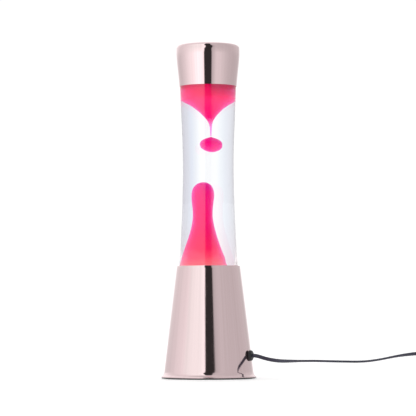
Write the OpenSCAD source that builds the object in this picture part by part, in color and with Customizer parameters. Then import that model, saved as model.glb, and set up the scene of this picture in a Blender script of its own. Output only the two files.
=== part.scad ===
// Lava lamp: spun metal base and cap, waisted glass bottle with wax in clear liquid,
// a small reflector bulb under the bottle, and a flat twin lead with an inline switch and a plug.
// The origin is on the table at the middle of the foot, +Z is up, and the lead leaves towards +X.

/* [Base] */
// Height of the base's rim above the table
rim_z = 131.7; // [128:0.1:165]
// Outer radius of the rim
rim_r = 37.1; // [36:0.1:44.6]
// Outer radius at the bottom of the straight cone
skirt_r = 52.4; // [47:0.1:60]
// Outer radius of the flared foot
foot_r = 56.1; // [55:0.1:68]
// Wall of the spun metal base
shell_t = 0.9; // [0.7:0.05:1.2]
// Height of the black plate's edge above the table
plate_gap = 0.6; // [0.4:0.1:1]

/* [Bottle] */
// Depth of the bottle's underside below the rim
seat_drop = 19.2; // [16:0.1:24]
// Overall height of the glass, to the top of its neck
bottle_h = 267.5; // [258:0.5:330]
// Outer radius of the glass just above its underside
belly_r = 35; // [33.5:0.1:35.2]
// Outer radius at the waist
waist_r = 30; // [27:0.1:31.5]
// Outer radius at the shoulder
shoulder_r = 33.1; // [31.5:0.1:39.8]
// Outer radius of the neck
neck_r = 13.2; // [12:0.1:16]
// Thickness of the glass
glass_t = 3; // [2:0.1:3.8]

/* [Cap] */
// Height of the metal cap
cap_h = 48.9; // [47:0.1:60]
// Largest outer radius of the cap
cap_r = 37.4; // [36:0.05:44.6]
// Wall of the spun metal cap
cap_t = 0.6; // [0.5:0.05:0.8]

/* [Wax] */
// Radius of the floating drop
drop_r = 9.7; // [6:0.1:11.6]
// Half the height of the floating drop
drop_half_h = 9; // [6:0.1:11]
// Radius of the rising column's head
column_r = 9.7; // [7:0.1:12]
// How far the floating drop can sink
drop_fall = 33; // [10:1:33]

/* [Bulb] */
// Radius of the reflector bulb
bulb_r = 19.5; // [17:0.1:22]
// Overall length of the bulb
bulb_h = 66; // [62:0.5:66]
// Radius of the bulb's screw cap
screw_r = 6.9; // [6:0.05:7.5]

/* [Lead] */
// Width of the flat twin lead
cord_w = 4.4; // [4:0.1:5.3]
// Thickness of the flat twin lead
cord_t = 2.4; // [2:0.1:3]
// Height of the lead's bush above the table
bush_z = 27; // [24:0.5:32]
// Radius of the bush's collar
bush_r = 6.4; // [5.5:0.1:7.7]
// Length of the inline switch
switch_l = 56; // [50:1:67]
// Width of the inline switch
switch_w = 26; // [22:0.5:31]
// Radius of a plug pin
pin_r = 2; // [1.9:0.05:2.4]
// Distance between the plug pins
pin_pitch = 18.6; // [18:0.1:23]

/* [Hidden] */

$fn = 96;
slack = 0.1;          // gap between two pieces of one body that drop into each other
run_gap = 0.06;       // radial gap of a shaft that turns in its hole
free_gap = 0.25;      // gap between two bodies that slide past each other
eps = 0.01;

// Base: cone, flare and plate
skirt_z = 8;                                    // where the cone meets the flare
cone_a = atan((skirt_r - rim_r) / (rim_z - skirt_z));
flare_r = 6.5;                                  // radius of the concave flare above the foot
flare_c = [skirt_r + flare_r * cos(cone_a), skirt_z + flare_r * sin(cone_a)];
flare_end = 236;                                // direction at which the flare stops
plate_t = 1;                                    // black plate's visible edge
lip_z = plate_gap + plate_t;                    // underside of the metal foot
lip_h = 1.2;                                    // height of the foot's rolled edge
floor_t = 2;                                    // black plate inside the foot
floor_z = plate_gap + floor_t;
plug_h = 7.4;                                   // upstand that plugs the plate into the cone
foot_w = 4.5;                                   // width of the rubber ring
foot_mid_r = foot_r - 7.5;                      // middle of the rubber ring
groove_d = 0.6;                                 // how deep the ring sits in the plate
vent_r = 3;                                     // air holes through the plate
vent_at = 34;

// Bottle seat
bottle_z = rim_z - seat_drop;
gasket_t = 1;
seat_t = 1.5;
seat_z = bottle_z - gasket_t - seat_t;
seat_hole_r = bulb_r + 4.5;

// Bottle outline: three smooth curves from the underside to the neck
heel_r = 6;                                     // rounding at the bottom edge
heel_z = bottle_z + heel_r;
waist_z = bottle_z + 0.5065 * bottle_h;
shoulder_z = bottle_z + 0.869 * bottle_h;
neck_z = bottle_z + 0.963 * bottle_h;
neck_top = bottle_z + bottle_h;
punt_r = 20;                                    // hollow under the bottle
punt_h = 3.5;
bottom_t = 4;
inside_z = bottle_z + punt_h + bottom_t;
neck_bore_r = neck_r - glass_t;

// Crown closure and cap
crown_t = 0.6;
crown_drop = 6;
seal_t = 0.9;
crown_top = neck_top + seal_t + crown_t;
cap_z = shoulder_z - 2.3;
cap_top = max(cap_z + cap_h, crown_top + 6);
mouth_r = shoulder_r + free_gap + cap_t;
corner_r = 4.5;                                 // rounding round the cap's flat top
pad_r = 26;

// Wax and liquid, all inside the glass
wax_gap = 0.4;                                  // liquid between the wax and what it floats by
column_x = -4.9;
drop_x = 2.4;
drop_z = bottle_z + 0.6037 * bottle_h;
column_top = drop_z - drop_half_h - drop_fall - 1.5;
thread_r = 0.6;
thread_end = drop_z + drop_half_h + 1.4;
upper_z = bottle_z + 0.803 * bottle_h;          // underside of the upper wax at the wall
upper_top = shoulder_z + 4;
liquid_top = neck_z - 4;
ring_r = 22;                                    // steel wire coil in the bottle's bottom
ring_wire_r = 3.5;

// Lamp holder and bulb
boss_h = 4;                                     // posts of the plate that carry the bracket
boss_r = 3.6;
strap_screw_r = 1.25;
strap_t = 1.2;
strap_w = 18;
strap_leg_x = 20;
strap_hole_x = 26;
strap_foot_z = floor_z + boss_h;
holder_z = 13.2;
holder_r = 13.5;
holder_h = 37;
bulb_z = holder_z + 14.8;                       // tip of the bulb's centre contact
sleeve_t = 0.5;
bore_r = screw_r + run_gap;                     // inside of the threaded sleeve
sleeve_z = bulb_z + 3;
sleeve_h = 15;
nipple_r = 5;
nipple_hole_r = 3;
nut_af = 14;
nut_h = 3;
wire_r = 1;
wire_y = 4.5;
wire_z = 20;
tongue_w = 5;
terminal_r = 1.5;
terminal_x = 9;
terminal_y = 8.6;                               // seat of a terminal screw's head

// Lead: angle of the bush and stations of the route
bush_a = -20;                                   // the bush looks this way round from +X
bush_out = 4.1;                                 // how far the collar stands off the cone
bush_tail = 34;                                 // radius at which the bush ends inside
bush_neck_r = 4.8;
bush_bore_r = cord_w / 2 - 0.1;                 // grips the lead
core_y = bush_bore_r - wire_r;                  // the two cores leave the bush side by side
bush_wall_r = cone_r(bush_z);
bush_face = bush_wall_r + bush_out;

// Route of the lead from inside the bush to the coil: sags between its two supports
lead_route = [
    along_bush(34, 0), along_bush(44, 0), along_bush(54, 0),
    [56.2, -20.7, 26.4], [60.8, -23.4, 25.1], [65.2, -27.2, 23.8], [70, -32, 22.7], [76, -37.9, 21.7],
    [83, -43.5, 21.1], [91, -47.9, 21], [100, -50.8, 21.1], [110, -52.3, 21.2], [122, -52.8, 21.2],
    [134, -52.6, 20.9], [146, -51.8, 20.6], [158, -50.3, 20.3], [170, -48.2, 20.1], [181, -45.8, 20.5],
    [191, -43.4, 21.6], [200, -41.2, 23], [209, -39, 24.7], [218, -37, 26.3], [228, -35.1, 27.7],
    [239, -33.5, 28.8], [250, -32.5, 29.4], [261, -32.1, 29.5], [272, -32, 29.3], [282, -32, 29.2]
];
// Route from the coil to the inline switch
mid_route = [
    [282, -36.4, 13.8], [289, -36.4, 12.6], [297, -36.4, 11.2], [305.5, -35.4, 9.8],
    [314, -32.4, 8.9], [321, -28, 8.5], [326.4, -22.4, 8.5], [329.2, -17, 8.5],
    [330, -12.5, 8.5], [330, -8.5, 8.5]
];
// Route from the switch to the plug, lying on the table round its bend
end_route = [
    [330, 43, 8.5], [330.4, 50, 7], [332.5, 57, 4.6], [337, 64, 2.8], [343.5, 69, 2.2],
    [351, 70.5, 2.2], [358.5, 69, 2.8], [365, 64, 4.2], [369.5, 57, 5.8], [371, 50, 6.8],
    [371, 44, 6.85]
];

// Coil: a tall inner column of turns and a short outer one
tie_t = 0.6;
tie_w = 6;
coil_c = [282, -8.5];
coil_r = 23.5;                                  // centre line of the inner turns
coil_low = tie_t;
inner_h = 7 * 4.4;
outer_h = 3.5 * 4.4;
coil_in = coil_r - 2.2;
coil_mid = coil_r + 2.2;
coil_out = coil_mid + 4.4;

// Inline switch, lying along Y between the two lengths of lead
switch_c = [330, 17];
switch_h = 17;
switch_wall = 1.8;
split_z = switch_h / 2;
entry_r = cord_w / 2 + slack;
rocker_w = 11;
rocker_r = 9;
rocker_rest = -8;                               // the rocker rests pressed at one end
pivot_z = 12.5;
pivot_r = 1.2;
pivot_l = 1.6;
ear_t = 2.2;
rocker_hole_l = 2 * (rocker_r + free_gap);
screw_pitch = switch_l - 14;
case_screw_r = 1.1;
case_screw_z = 1.6;                             // seat of a case screw's head

// Plug, lying flat
plug_c = [371, -2];                             // middle of the face that the pins stand on
plug_t = 13.7;
plug_w = 35.3;
plug_l = 33;
relief_l = 13;
pin_l = 18;
pin_tip = 1;
shank_r = 1.5;
shank_l = 8;

// A round arc about a point, from one direction to another
function arc(c, r, a0, a1, n) =
    [for (i = [0 : n]) let (a = a0 + (a1 - a0) * i / n) [c[0] + r * cos(a), c[1] + r * sin(a)]];

// A smooth curve from a to d that leaves towards b and arrives from c
function bez(a, b, c, d, n) =
    [for (i = [0 : n]) let (t = i / n)
        (1 - t)^3 * a + 3 * (1 - t)^2 * t * b + 3 * (1 - t) * t^2 * c + t^3 * d];

function back(v) = [for (i = [len(v) - 1 : -1 : 0]) v[i]];

// A point on the bush's axis at a distance from the lamp's axis, or beside it
function along_bush(r, side) =
    [r * cos(bush_a) - side * sin(bush_a), r * sin(bush_a) + side * cos(bush_a), bush_z];

// Outer radius of the base's cone at a height
function cone_r(z) = skirt_r - (z - skirt_z) * tan(cone_a);

// The same cone's inner face
function cone_in(z) = cone_r(z) - shell_t / cos(cone_a);

// The flank of the bottle from the heel to the neck, moved in by a wall
function flank(t) = concat(
    bez([belly_r - t, heel_z], [belly_r - t - 2, heel_z + 38], [waist_r - t, waist_z - 45],
        [waist_r - t, waist_z], 18),
    bez([waist_r - t, waist_z], [waist_r - t, waist_z + 35],
        [shoulder_r - t - 0.7, shoulder_z - 30], [shoulder_r - t, shoulder_z], 16),
    bez([shoulder_r - t, shoulder_z], [shoulder_r - t + 0.2, shoulder_z + 14 - 0.4 * t],
        [neck_r - t + 1, shoulder_z + 13 - t], [neck_r - t, neck_z - 0.5 * t], 12)
);

// Inside of the bottle as an outline, closed along the axis, up to a height in the neck
function hollow(gap, top) = concat(
    [[0, inside_z + gap], [punt_r, inside_z + gap - 0.5]],
    arc([belly_r - glass_t - 4, inside_z + 3], 4 - gap, 270, 360, 6),
    [for (p = flank(glass_t + gap)) if (p[1] > inside_z + 4 && p[1] < top) p],
    [[neck_bore_r - gap, top], [0, top]]
);

// Points of a flat or round lead's rings: n sides, w wide and h thick
function unit(v) = v / norm(v);
function heading(p, i) = unit(p[min(i + 1, len(p) - 1)] - p[max(i - 1, 0)]);
function rings(p, w, h, n) = [
    for (i = [0 : len(p) - 1])
        let (t = heading(p, i), side = unit(cross([0, 0, 1], t)), up = cross(t, side))
            for (k = [0 : n - 1])
                p[i] + side * w / 2 * cos(360 * k / n) + up * h / 2 * sin(360 * k / n)
];

module tube(route, w, h, n = 8) {
    m = len(route);
    polyhedron(
        points = rings(route, w, h, n),
        faces = concat(
            [[for (k = [0 : n - 1]) k]],
            [[for (k = [n - 1 : -1 : 0]) (m - 1) * n + k]],
            [for (i = [0 : m - 2], k = [0 : n - 1])
                [i * n + (k + 1) % n, i * n + k, (i + 1) * n + k, (i + 1) * n + (k + 1) % n]]
        )
    );
}

module spin(outline) {
    rotate_extrude() polygon(outline);
}

module ring(r_out, r_in, z0, z1) {
    spin([[r_in, z0], [r_out, z0], [r_out, z1], [r_in, z1]]);
}

// A screw standing on its head's seat, point down
module screw(r, l, head_r, head_h) {
    translate([0, 0, -l]) cylinder(r = r, h = l + eps);
    difference() {
        cylinder(r = head_r, h = head_h);
        for (a = [0, 90]) rotate([0, 0, a]) translate([-0.35, -head_r * 0.7, head_h / 2])
            cube([0.7, head_r * 1.4, head_h]);
    }
}

// Puts children at the bush: +X along its axis, away from the lamp
module at_bush() {
    rotate([0, 0, bush_a]) translate([0, 0, bush_z]) children();
}

module lying_x(r, x0, x1) {
    translate([x0, 0, 0]) rotate([0, 90, 0]) cylinder(r = r, h = x1 - x0);
}

// ---- base ----

module base_shell() {
    edge = shell_t / 2;
    outer = concat(
        arc([cone_r(rim_z) - edge, rim_z - edge], edge, 90, 0, 4),
        arc(flare_c, flare_r, 180 + cone_a, flare_end, 8),
        arc([foot_r - lip_h / 2, lip_z + lip_h / 2], lip_h / 2, 60, -90, 6)
    );
    inner = concat(
        [[flare_c[0] + (flare_r + shell_t) * cos(flare_end) - 0.3, lip_z]],
        back(arc(flare_c, flare_r + shell_t, 180 + cone_a, flare_end - 6, 8)),
        [[cone_in(rim_z), rim_z - edge], [cone_r(rim_z) - edge, rim_z]]
    );
    color([0.86, 0.72, 0.72])
    difference() {
        spin(concat(outer, inner));
        at_bush() lying_x(bush_neck_r + slack, bush_wall_r - 8, bush_wall_r + 8);
    }
}

module base_plate() {
    plug_r = cone_in(floor_z + plug_h) - slack;
    color([0.08, 0.08, 0.09])
    difference() {
        union() {
            spin([
                [0, plate_gap], [foot_r - lip_h, plate_gap], [foot_r - lip_h / 2, plate_gap + 0.4],
                [foot_r - lip_h / 2, lip_z], [plug_r, lip_z], [plug_r, floor_z + plug_h],
                [plug_r - 1.8, floor_z + plug_h], [plug_r - 1.8, floor_z], [0, floor_z]
            ]);
            for (s = [-1, 1]) translate([s * strap_hole_x, 0, floor_z - eps])
                cylinder(r = boss_r, h = boss_h + eps);
        }
        ring(foot_mid_r + foot_w / 2 + slack, foot_mid_r - foot_w / 2 - slack, -1, plate_gap + groove_d);
        for (s = [-1, 1]) translate([s * strap_hole_x, 0, floor_z - 0.8])
            cylinder(r = strap_screw_r, h = boss_h + 2);
        for (i = [0 : 5]) rotate([0, 0, 30 + 60 * i]) translate([vent_at, 0, -1])
            cylinder(r = vent_r, h = floor_z + 2);
    }
}

module foot_ring() {
    color([0.05, 0.05, 0.05])
    ring(foot_mid_r + foot_w / 2, foot_mid_r - foot_w / 2, 0, plate_gap + groove_d);
}

module bottle_seat() {
    rim_in = cone_in(seat_z + seat_t);
    skirt = 9;                                  // the seat's skirt wedges in the cone
    color([0.75, 0.75, 0.76])
    spin([
        [seat_hole_r, seat_z], [cone_in(seat_z) - seat_t - slack, seat_z],
        [cone_in(seat_z - skirt) - seat_t - slack, seat_z - skirt],
        [cone_in(seat_z - skirt) - slack, seat_z - skirt],
        [rim_in - slack, seat_z + seat_t], [seat_hole_r, seat_z + seat_t]
    ]);
}

module seat_gasket() {
    color([0.2, 0.2, 0.2])
    ring(belly_r - 4, seat_hole_r + 0.5, bottle_z - gasket_t, bottle_z - 0.02);
}

// ---- lamp holder ----

module holder_bracket() {
    foot_x = strap_hole_x + 5;
    color([0.7, 0.7, 0.7])
    difference() {
        union() {
            translate([-strap_leg_x, -strap_w / 2, holder_z - strap_t])
                cube([2 * strap_leg_x, strap_w, strap_t]);
            for (s = [0, 180]) rotate([0, 0, s]) {
                translate([strap_leg_x - strap_t, -strap_w / 2, strap_foot_z])
                    cube([strap_t, strap_w, holder_z - strap_foot_z]);
                translate([strap_leg_x - strap_t, -strap_w / 2, strap_foot_z])
                    cube([foot_x - strap_leg_x + strap_t, strap_w, strap_t]);
            }
        }
        translate([0, 0, strap_foot_z]) cylinder(r = nipple_r + slack, h = holder_z);
        for (s = [-1, 1]) translate([s * strap_hole_x, 0, strap_foot_z - 1])
            cylinder(r = strap_screw_r + 0.35, h = strap_t + 2);
    }
}

module bracket_screws() {
    color([0.6, 0.6, 0.6])
    for (s = [-1, 1]) translate([s * strap_hole_x, 0, strap_foot_z + strap_t])
        screw(strap_screw_r, strap_t + boss_h, 2.8, 1.8);
}

module lamp_holder() {
    color([0.93, 0.92, 0.88])
    difference() {
        translate([0, 0, holder_z]) cylinder(r = holder_r, h = holder_h);
        translate([0, 0, bulb_z - 3]) cylinder(r = 6.2, h = holder_h);
        translate([0, 0, sleeve_z]) cylinder(r = bore_r + sleeve_t, h = holder_h);
        translate([0, 0, sleeve_z + sleeve_h]) cylinder(r = holder_r - 2.5, h = holder_h);
        translate([0, 0, holder_z - 1]) cylinder(r = nipple_r, h = 7);
        for (s = [-1, 1]) {
            translate([0, s * wire_y, wire_z]) lying_x(wire_r + slack, 5, holder_r + 1);
            translate([terminal_x, s * wire_y, wire_z]) rotate([-90 * s, 0, 0])
                cylinder(r = terminal_r, h = holder_r);
            translate([terminal_x, s * terminal_y, wire_z]) rotate([-90 * s, 0, 0])
                cylinder(r = 2.6, h = holder_r);
        }
    }
}

module holder_sleeve() {
    color([0.8, 0.68, 0.35])
    ring(bore_r + sleeve_t, bore_r, sleeve_z, sleeve_z + sleeve_h);
}

module holder_tongue() {
    color([0.8, 0.68, 0.35]) {
        translate([-tongue_w / 2, -5.5, bulb_z - 3]) cube([tongue_w, 10, 0.6]);
        translate([0, 0, bulb_z - 2.4]) cylinder(r = 1.8, h = 2.4 - run_gap);
    }
}

module holder_nipple() {
    color([0.72, 0.72, 0.7])
    ring(nipple_r, nipple_hole_r, strap_foot_z, holder_z + 6);
}

module nipple_nut() {
    color([0.65, 0.65, 0.63])
    translate([0, 0, holder_z - strap_t - nut_h])
    difference() {
        cylinder(r = nut_af / sqrt(3), h = nut_h, $fn = 6);
        translate([0, 0, -1]) cylinder(r = nipple_r, h = nut_h + 2);
    }
}

module terminal_screws() {
    color([0.6, 0.6, 0.6])
    for (s = [-1, 1]) translate([terminal_x, s * terminal_y, wire_z])
        rotate([-90 * s, 0, 0]) screw(terminal_r, terminal_y - wire_y - wire_r - slack, 2.2, 1.2);
}

// One insulated core from the end of the lead to its terminal
module core(s) {
    tube([
        along_bush(33.9, s * core_y), along_bush(30, s * core_y), [24.5, -7.5 + s * 1.8, bush_z - 2.4],
        [20.5, -4 + s * 2.8, bush_z - 4.8], [17, -1.2 + s * 3.8, wire_z + 0.8],
        [13.8, s * wire_y, wire_z], [10, s * wire_y, wire_z], [6, s * wire_y, wire_z]
    ], 2 * wire_r, 2 * wire_r);
}

module wire_live() {
    color([0.4, 0.22, 0.12]) core(-1);
}

module wire_neutral() {
    color([0.15, 0.3, 0.65]) core(1);
}

// ---- lead ----

module cord_bush() {
    inner_flange = cone_in(bush_z) - 1.2;
    color([0.09, 0.09, 0.1])
    difference() {
        union() {
            difference() {
                at_bush() rotate([0, 90, 0]) rotate([0, 0, 90]) rotate_extrude() polygon(concat(
                    [[0, bush_wall_r - 3], [bush_r, bush_wall_r - 3]],
                    arc([bush_r - 1.6, bush_face - 1.6], 1.6, 0, 90, 5),
                    [[0, bush_face]]
                ));
                spin([
                    [0, bush_z - 15], [cone_r(bush_z - 15), bush_z - 15],
                    [cone_r(bush_z + 15), bush_z + 15], [0, bush_z + 15]
                ]);
            }
            at_bush() {
                lying_x(bush_neck_r, inner_flange, bush_wall_r + 1);
                lying_x(bush_neck_r + 1.2, inner_flange - 2, inner_flange);
                translate([bush_tail, 0, 0]) rotate([0, 90, 0])
                    cylinder(r1 = bush_bore_r + 1, r2 = bush_neck_r, h = inner_flange - bush_tail);
            }
        }
        at_bush() lying_x(bush_bore_r, bush_tail - 1, bush_face + 1);
    }
}

module cord_lead() {
    color([0.2, 0.2, 0.26]) tube(lead_route, cord_w, cord_t);
}

module cord_coil() {
    color([0.2, 0.2, 0.26])
    translate([coil_c[0], coil_c[1], coil_low])
    spin([
        [coil_in, 0], [coil_out, 0], [coil_out, outer_h], [coil_mid, outer_h],
        [coil_mid, inner_h], [coil_in, inner_h]
    ]);
}

// A flat strap round the whole bundle, at the back of the coil
module coil_tie() {
    in_r = coil_in - 4 * slack;                 // clear of the curved inside of the coil
    out_r = coil_out + slack;
    color([0.1, 0.1, 0.1])
    translate([coil_c[0] - tie_w / 2, coil_c[1], 0])
    rotate([90, 0, 90]) linear_extrude(tie_w) difference() {
        polygon([
            [in_r - tie_t, 0], [out_r + tie_t, 0], [out_r + tie_t, coil_low + outer_h + 1],
            [coil_mid + 1 + tie_t, coil_low + inner_h + slack + tie_t],
            [in_r - tie_t, coil_low + inner_h + slack + tie_t]
        ]);
        polygon([
            [in_r, tie_t - 0.02], [out_r, tie_t - 0.02], [out_r, coil_low + outer_h + 1],
            [coil_mid + 1, coil_low + inner_h + slack], [in_r, coil_low + inner_h + slack]
        ]);
    }
}

module cord_mid() {
    color([0.2, 0.2, 0.26]) tube(mid_route, cord_w, cord_t);
}

module cord_end() {
    color([0.2, 0.2, 0.26]) tube(end_route, cord_w, cord_t);
}

// ---- inline switch ----

// Outline of the housing with its rounded ends, drawn smaller by a wall
module switch_outline(wall) {
    end_w = switch_w - 8;                       // width of the flat at each end
    for (s = [-1, 1]) translate([0, s * (switch_l / 2 - switch_w / 2)])
        circle(r = switch_w / 2 - wall);
    square([switch_w - 2 * wall, switch_l - switch_w], center = true);
    square([end_w - 2 * wall, switch_l - 2 * wall], center = true);
}

module switch_ends() {
    translate([0, 0, split_z]) rotate([90, 0, 0])
        cylinder(r = entry_r, h = switch_l + 10, center = true);
}

module switch_posts(r, z0, z1) {
    for (s = [-1, 1]) translate([0, s * screw_pitch / 2, z0]) cylinder(r = r, h = z1 - z0);
}

module switch_base() {
    color([0.12, 0.12, 0.13])
    translate([switch_c[0], switch_c[1], 0])
    difference() {
        union() {
            linear_extrude(split_z) difference() {
                switch_outline(0);
                switch_outline(switch_wall);
            }
            linear_extrude(switch_wall) switch_outline(0);
            switch_posts(3.4, 0, split_z - entry_r - 0.5);
        }
        switch_ends();
        switch_posts(2.6, -1, case_screw_z);
        switch_posts(case_screw_r + 0.2, -1, switch_h);
    }
}

module switch_cover() {
    ear_z = pivot_z - 2.4;
    ear_x = rocker_w / 2 + free_gap;
    color([0.12, 0.12, 0.13])
    translate([switch_c[0], switch_c[1], 0])
    difference() {
        union() {
            translate([0, 0, split_z]) linear_extrude(switch_h - split_z) difference() {
                switch_outline(0);
                switch_outline(switch_wall);
            }
            translate([0, 0, switch_h - switch_wall]) linear_extrude(switch_wall) switch_outline(0);
            for (s = [-1, 1])
                translate([s * (ear_x + ear_t / 2) - ear_t / 2, -3, ear_z])
                    cube([ear_t, 6, switch_h - ear_z - eps]);
            switch_posts(3, split_z + entry_r + 0.5, switch_h - 1);
        }
        switch_ends();
        switch_posts(case_screw_r, split_z, switch_h - 3);
        translate([0, 0, switch_h]) cube([rocker_w + 2 * free_gap, rocker_hole_l, 8], center = true);
        translate([0, 0, pivot_z]) rotate([0, 90, 0])
            cylinder(r = pivot_r + run_gap, h = 2 * (ear_x + ear_t) + 1, center = true);
    }
}

module switch_contacts() {
    color([0.8, 0.68, 0.35])
    translate([switch_c[0], switch_c[1], switch_wall])
    for (s = [-1, 1]) translate([-2.5, s * 5.5 - 4.5, 0]) cube([5, 9, 0.8]);
}

module switch_screws() {
    color([0.6, 0.6, 0.6])
    translate([switch_c[0], switch_c[1], case_screw_z])
    for (s = [-1, 1]) translate([0, s * screw_pitch / 2, 0]) mirror([0, 0, 1])
        screw(case_screw_r, switch_h - 6, 2.4, 1.2);
}

module switch_rocker() {
    tip_a = 37;
    color([0.1, 0.1, 0.11])
    translate([switch_c[0], switch_c[1], pivot_z])
    rotate([rocker_rest, 0, 0]) {
        translate([-rocker_w / 2, 0, 0]) rotate([90, 0, 90]) linear_extrude(rocker_w) polygon(concat(
            arc([0, 0], rocker_r, -6, tip_a, 6),
            [[0, rocker_r * sin(tip_a) - 1.5]],
            arc([0, 0], rocker_r, 180 - tip_a, 186, 6)
        ));
        rotate([0, 90, 0])
            cylinder(r = pivot_r, h = rocker_w + 2 * (free_gap + pivot_l), center = true);
    }
}

// ---- plug ----

module plug_body() {
    y1 = plug_c[1] + plug_l;
    color([0.09, 0.09, 0.1])
    difference() {
        union() {
            intersection() {
                linear_extrude(plug_t) polygon([
                    [plug_c[0] - plug_w / 2, plug_c[1]], [plug_c[0] + plug_w / 2, plug_c[1]],
                    [plug_c[0] + plug_w / 2, plug_c[1] + 6], [plug_c[0] + 12, plug_c[1] + 21],
                    [plug_c[0] + 5.5, y1], [plug_c[0] - 5.5, y1], [plug_c[0] - 12, plug_c[1] + 21],
                    [plug_c[0] - plug_w / 2, plug_c[1] + 6]
                ]);
                translate([plug_c[0], y1 + 1, plug_t / 2]) rotate([90, 0, 0])
                    linear_extrude(plug_l + 2) polygon([
                        [-plug_w / 2, -2.6], [-plug_w / 2 + 5, -plug_t / 2], [plug_w / 2 - 5, -plug_t / 2],
                        [plug_w / 2, -2.6], [plug_w / 2, 2.6], [plug_w / 2 - 5, plug_t / 2],
                        [-plug_w / 2 + 5, plug_t / 2], [-plug_w / 2, 2.6]
                    ]);
            }
            translate([plug_c[0], y1 - eps, plug_t / 2]) rotate([-90, 0, 0])
                cylinder(r1 = 5, r2 = cord_w / 2 + 1, h = relief_l);
        }
        for (s = [-1, 1]) translate([plug_c[0] + s * pin_pitch / 2, plug_c[1] - 1, plug_t / 2])
            rotate([-90, 0, 0]) cylinder(r = shank_r, h = shank_l + 1);
    }
}

module plug_pins() {
    color([0.8, 0.8, 0.8])
    for (s = [-1, 1]) translate([plug_c[0] + s * pin_pitch / 2, plug_c[1], plug_t / 2])
        rotate([90, 0, 0]) {
            translate([0, 0, -shank_l]) cylinder(r = shank_r, h = shank_l + eps);
            cylinder(r = pin_r, h = pin_l);
            translate([0, 0, pin_l]) cylinder(r1 = pin_r, r2 = pin_r - 0.9, h = pin_tip);
        }
}

// ---- bottle ----

module glass_bottle() {
    bead_r = neck_r + 0.5;
    outside = concat(
        [[0, bottle_z + punt_h], [punt_r - 1.5, bottle_z + punt_h - 0.5], [punt_r + 2.5, bottle_z]],
        arc([belly_r - heel_r, heel_z], heel_r, 270, 352, 8),
        flank(0),
        [[neck_r, neck_top - 4.2], [bead_r, neck_top - 3.6], [bead_r, neck_top - 0.6],
         [bead_r - 0.6, neck_top], [neck_bore_r, neck_top]]
    );
    color([0.85, 0.9, 0.92, 0.35])
    difference() {
        spin(concat(outside, [[0, neck_top]]));
        spin(hollow(0, neck_z - 2));
        translate([0, 0, neck_z - 3]) cylinder(r = neck_bore_r, h = neck_top);
    }
}

module clear_liquid() {
    color([0.92, 0.94, 1, 0.3])
    difference() {
        spin(hollow(0.05, liquid_top));
        upper_wax(wax_gap);
        lower_wax(wax_gap);
        wire_ring(ring_wire_r + wax_gap);
        translate([drop_x, 0, drop_z - drop_fall - drop_half_h - 0.8])
            cylinder(r = drop_r + wax_gap, h = drop_fall + 2 * drop_half_h + 1.6);
    }
}

// Wax gathered under the shoulder, with a funnel that draws out into a thread
module upper_wax(gap) {
    full_r = waist_r - glass_t - 0.8 + gap;
    spin([
        [0, upper_z + 3 - gap], [full_r - 4, upper_z + 3 - gap], [full_r, upper_z + 7 - gap],
        [full_r, upper_top + gap], [0, upper_top + gap]
    ]);
    translate([drop_x, 0, 0]) spin(concat(
        [[0, upper_z + 4]],
        bez([23 + gap, upper_z + 4], [18 + gap, upper_z - 6], [3 + gap, upper_z - 14],
            [thread_r + gap, upper_z - 30], 10),
        [[0, upper_z - 30]]
    ));
    translate([drop_x, 0, thread_end - gap])
        cylinder(r = thread_r + gap, h = upper_z - 29 - thread_end + gap);
}

module wax_upper() {
    color([0.95, 0.1, 0.45]) upper_wax(0);
}

// Wax that rises from the bottom as a column with a round head
module lower_wax(gap) {
    pool_r = belly_r - glass_t - 4.5 + gap;
    pool_z = inside_z + 0.5 - gap;
    pool_top = inside_z + 12;
    foot_top = pool_top + 8;
    neck_low = column_top - 44;
    spin([
        [0, pool_z], [pool_r, pool_z + 1], [pool_r, pool_top], [pool_r - 5, foot_top],
        [0, foot_top]
    ]);
    translate([column_x, 0, 0]) spin(concat(
        [[0, foot_top - 4]],
        bez([21 + gap, foot_top - 4], [17 + gap, foot_top + 26], [column_r - 1 + gap, neck_low - 14],
            [column_r - 1.2 + gap, neck_low], 10),
        bez([column_r - 1.2 + gap, neck_low + 1], [column_r - 0.6 + gap, neck_low + 20],
            [column_r + gap, column_top - 20], [column_r + gap, column_top - 13], 6),
        bez([column_r + gap, column_top - 12.5], [column_r + gap, column_top - 5],
            [column_r - 5 + gap, column_top + gap], [0, column_top + gap], 8)
    ));
}

module wax_lower() {
    color([1, 0.3, 0.5])
    difference() {
        lower_wax(0);
        wire_ring(ring_wire_r + 0.05);
    }
}

module wire_ring(r) {
    translate([0, 0, inside_z + ring_wire_r + 1]) rotate_extrude() translate([ring_r, 0])
        circle(r = r, $fn = 32);
}

module wire_coil() {
    color([0.7, 0.7, 0.72]) wire_ring(ring_wire_r);
}

module wax_drop() {
    color([0.95, 0.05, 0.5])
    translate([drop_x, 0, drop_z]) spin(concat(
        [[0, -drop_half_h]],
        [for (a = [-75 : 15 : 75]) [drop_r * cos(a), drop_half_h * sin(a)]],
        [[0, drop_half_h]]
    ));
}

module crown_closure() {
    in_r = neck_r + 0.5 + 0.05;
    color([0.8, 0.8, 0.8])
    spin([
        [0, neck_top + seal_t], [in_r, neck_top + seal_t], [in_r, crown_top - crown_drop],
        [in_r + 2, crown_top - crown_drop - 0.6], [in_r + 2, crown_top - crown_drop],
        [in_r + crown_t, crown_top - crown_drop + 1], [in_r + crown_t, crown_top - 0.8],
        [in_r + crown_t - 0.8, crown_top], [0, crown_top]
    ]);
}

module crown_seal() {
    color([0.9, 0.9, 0.85]) translate([0, 0, neck_top]) cylinder(r = neck_r, h = seal_t);
}

// ---- cap ----

// The cap's side from its mouth to its flat top, moved in by a wall
function cap_side(t) = concat(
    bez([mouth_r - t, cap_z], [mouth_r - t + 0.75, cap_z + 12.3], [cap_r - t - 0.25, cap_z + 28.3],
        [cap_r - t, cap_z + 37.8], 14),
    arc([cap_r - corner_r, cap_top - corner_r], corner_r - t, 0, 90, 8)
);

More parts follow.
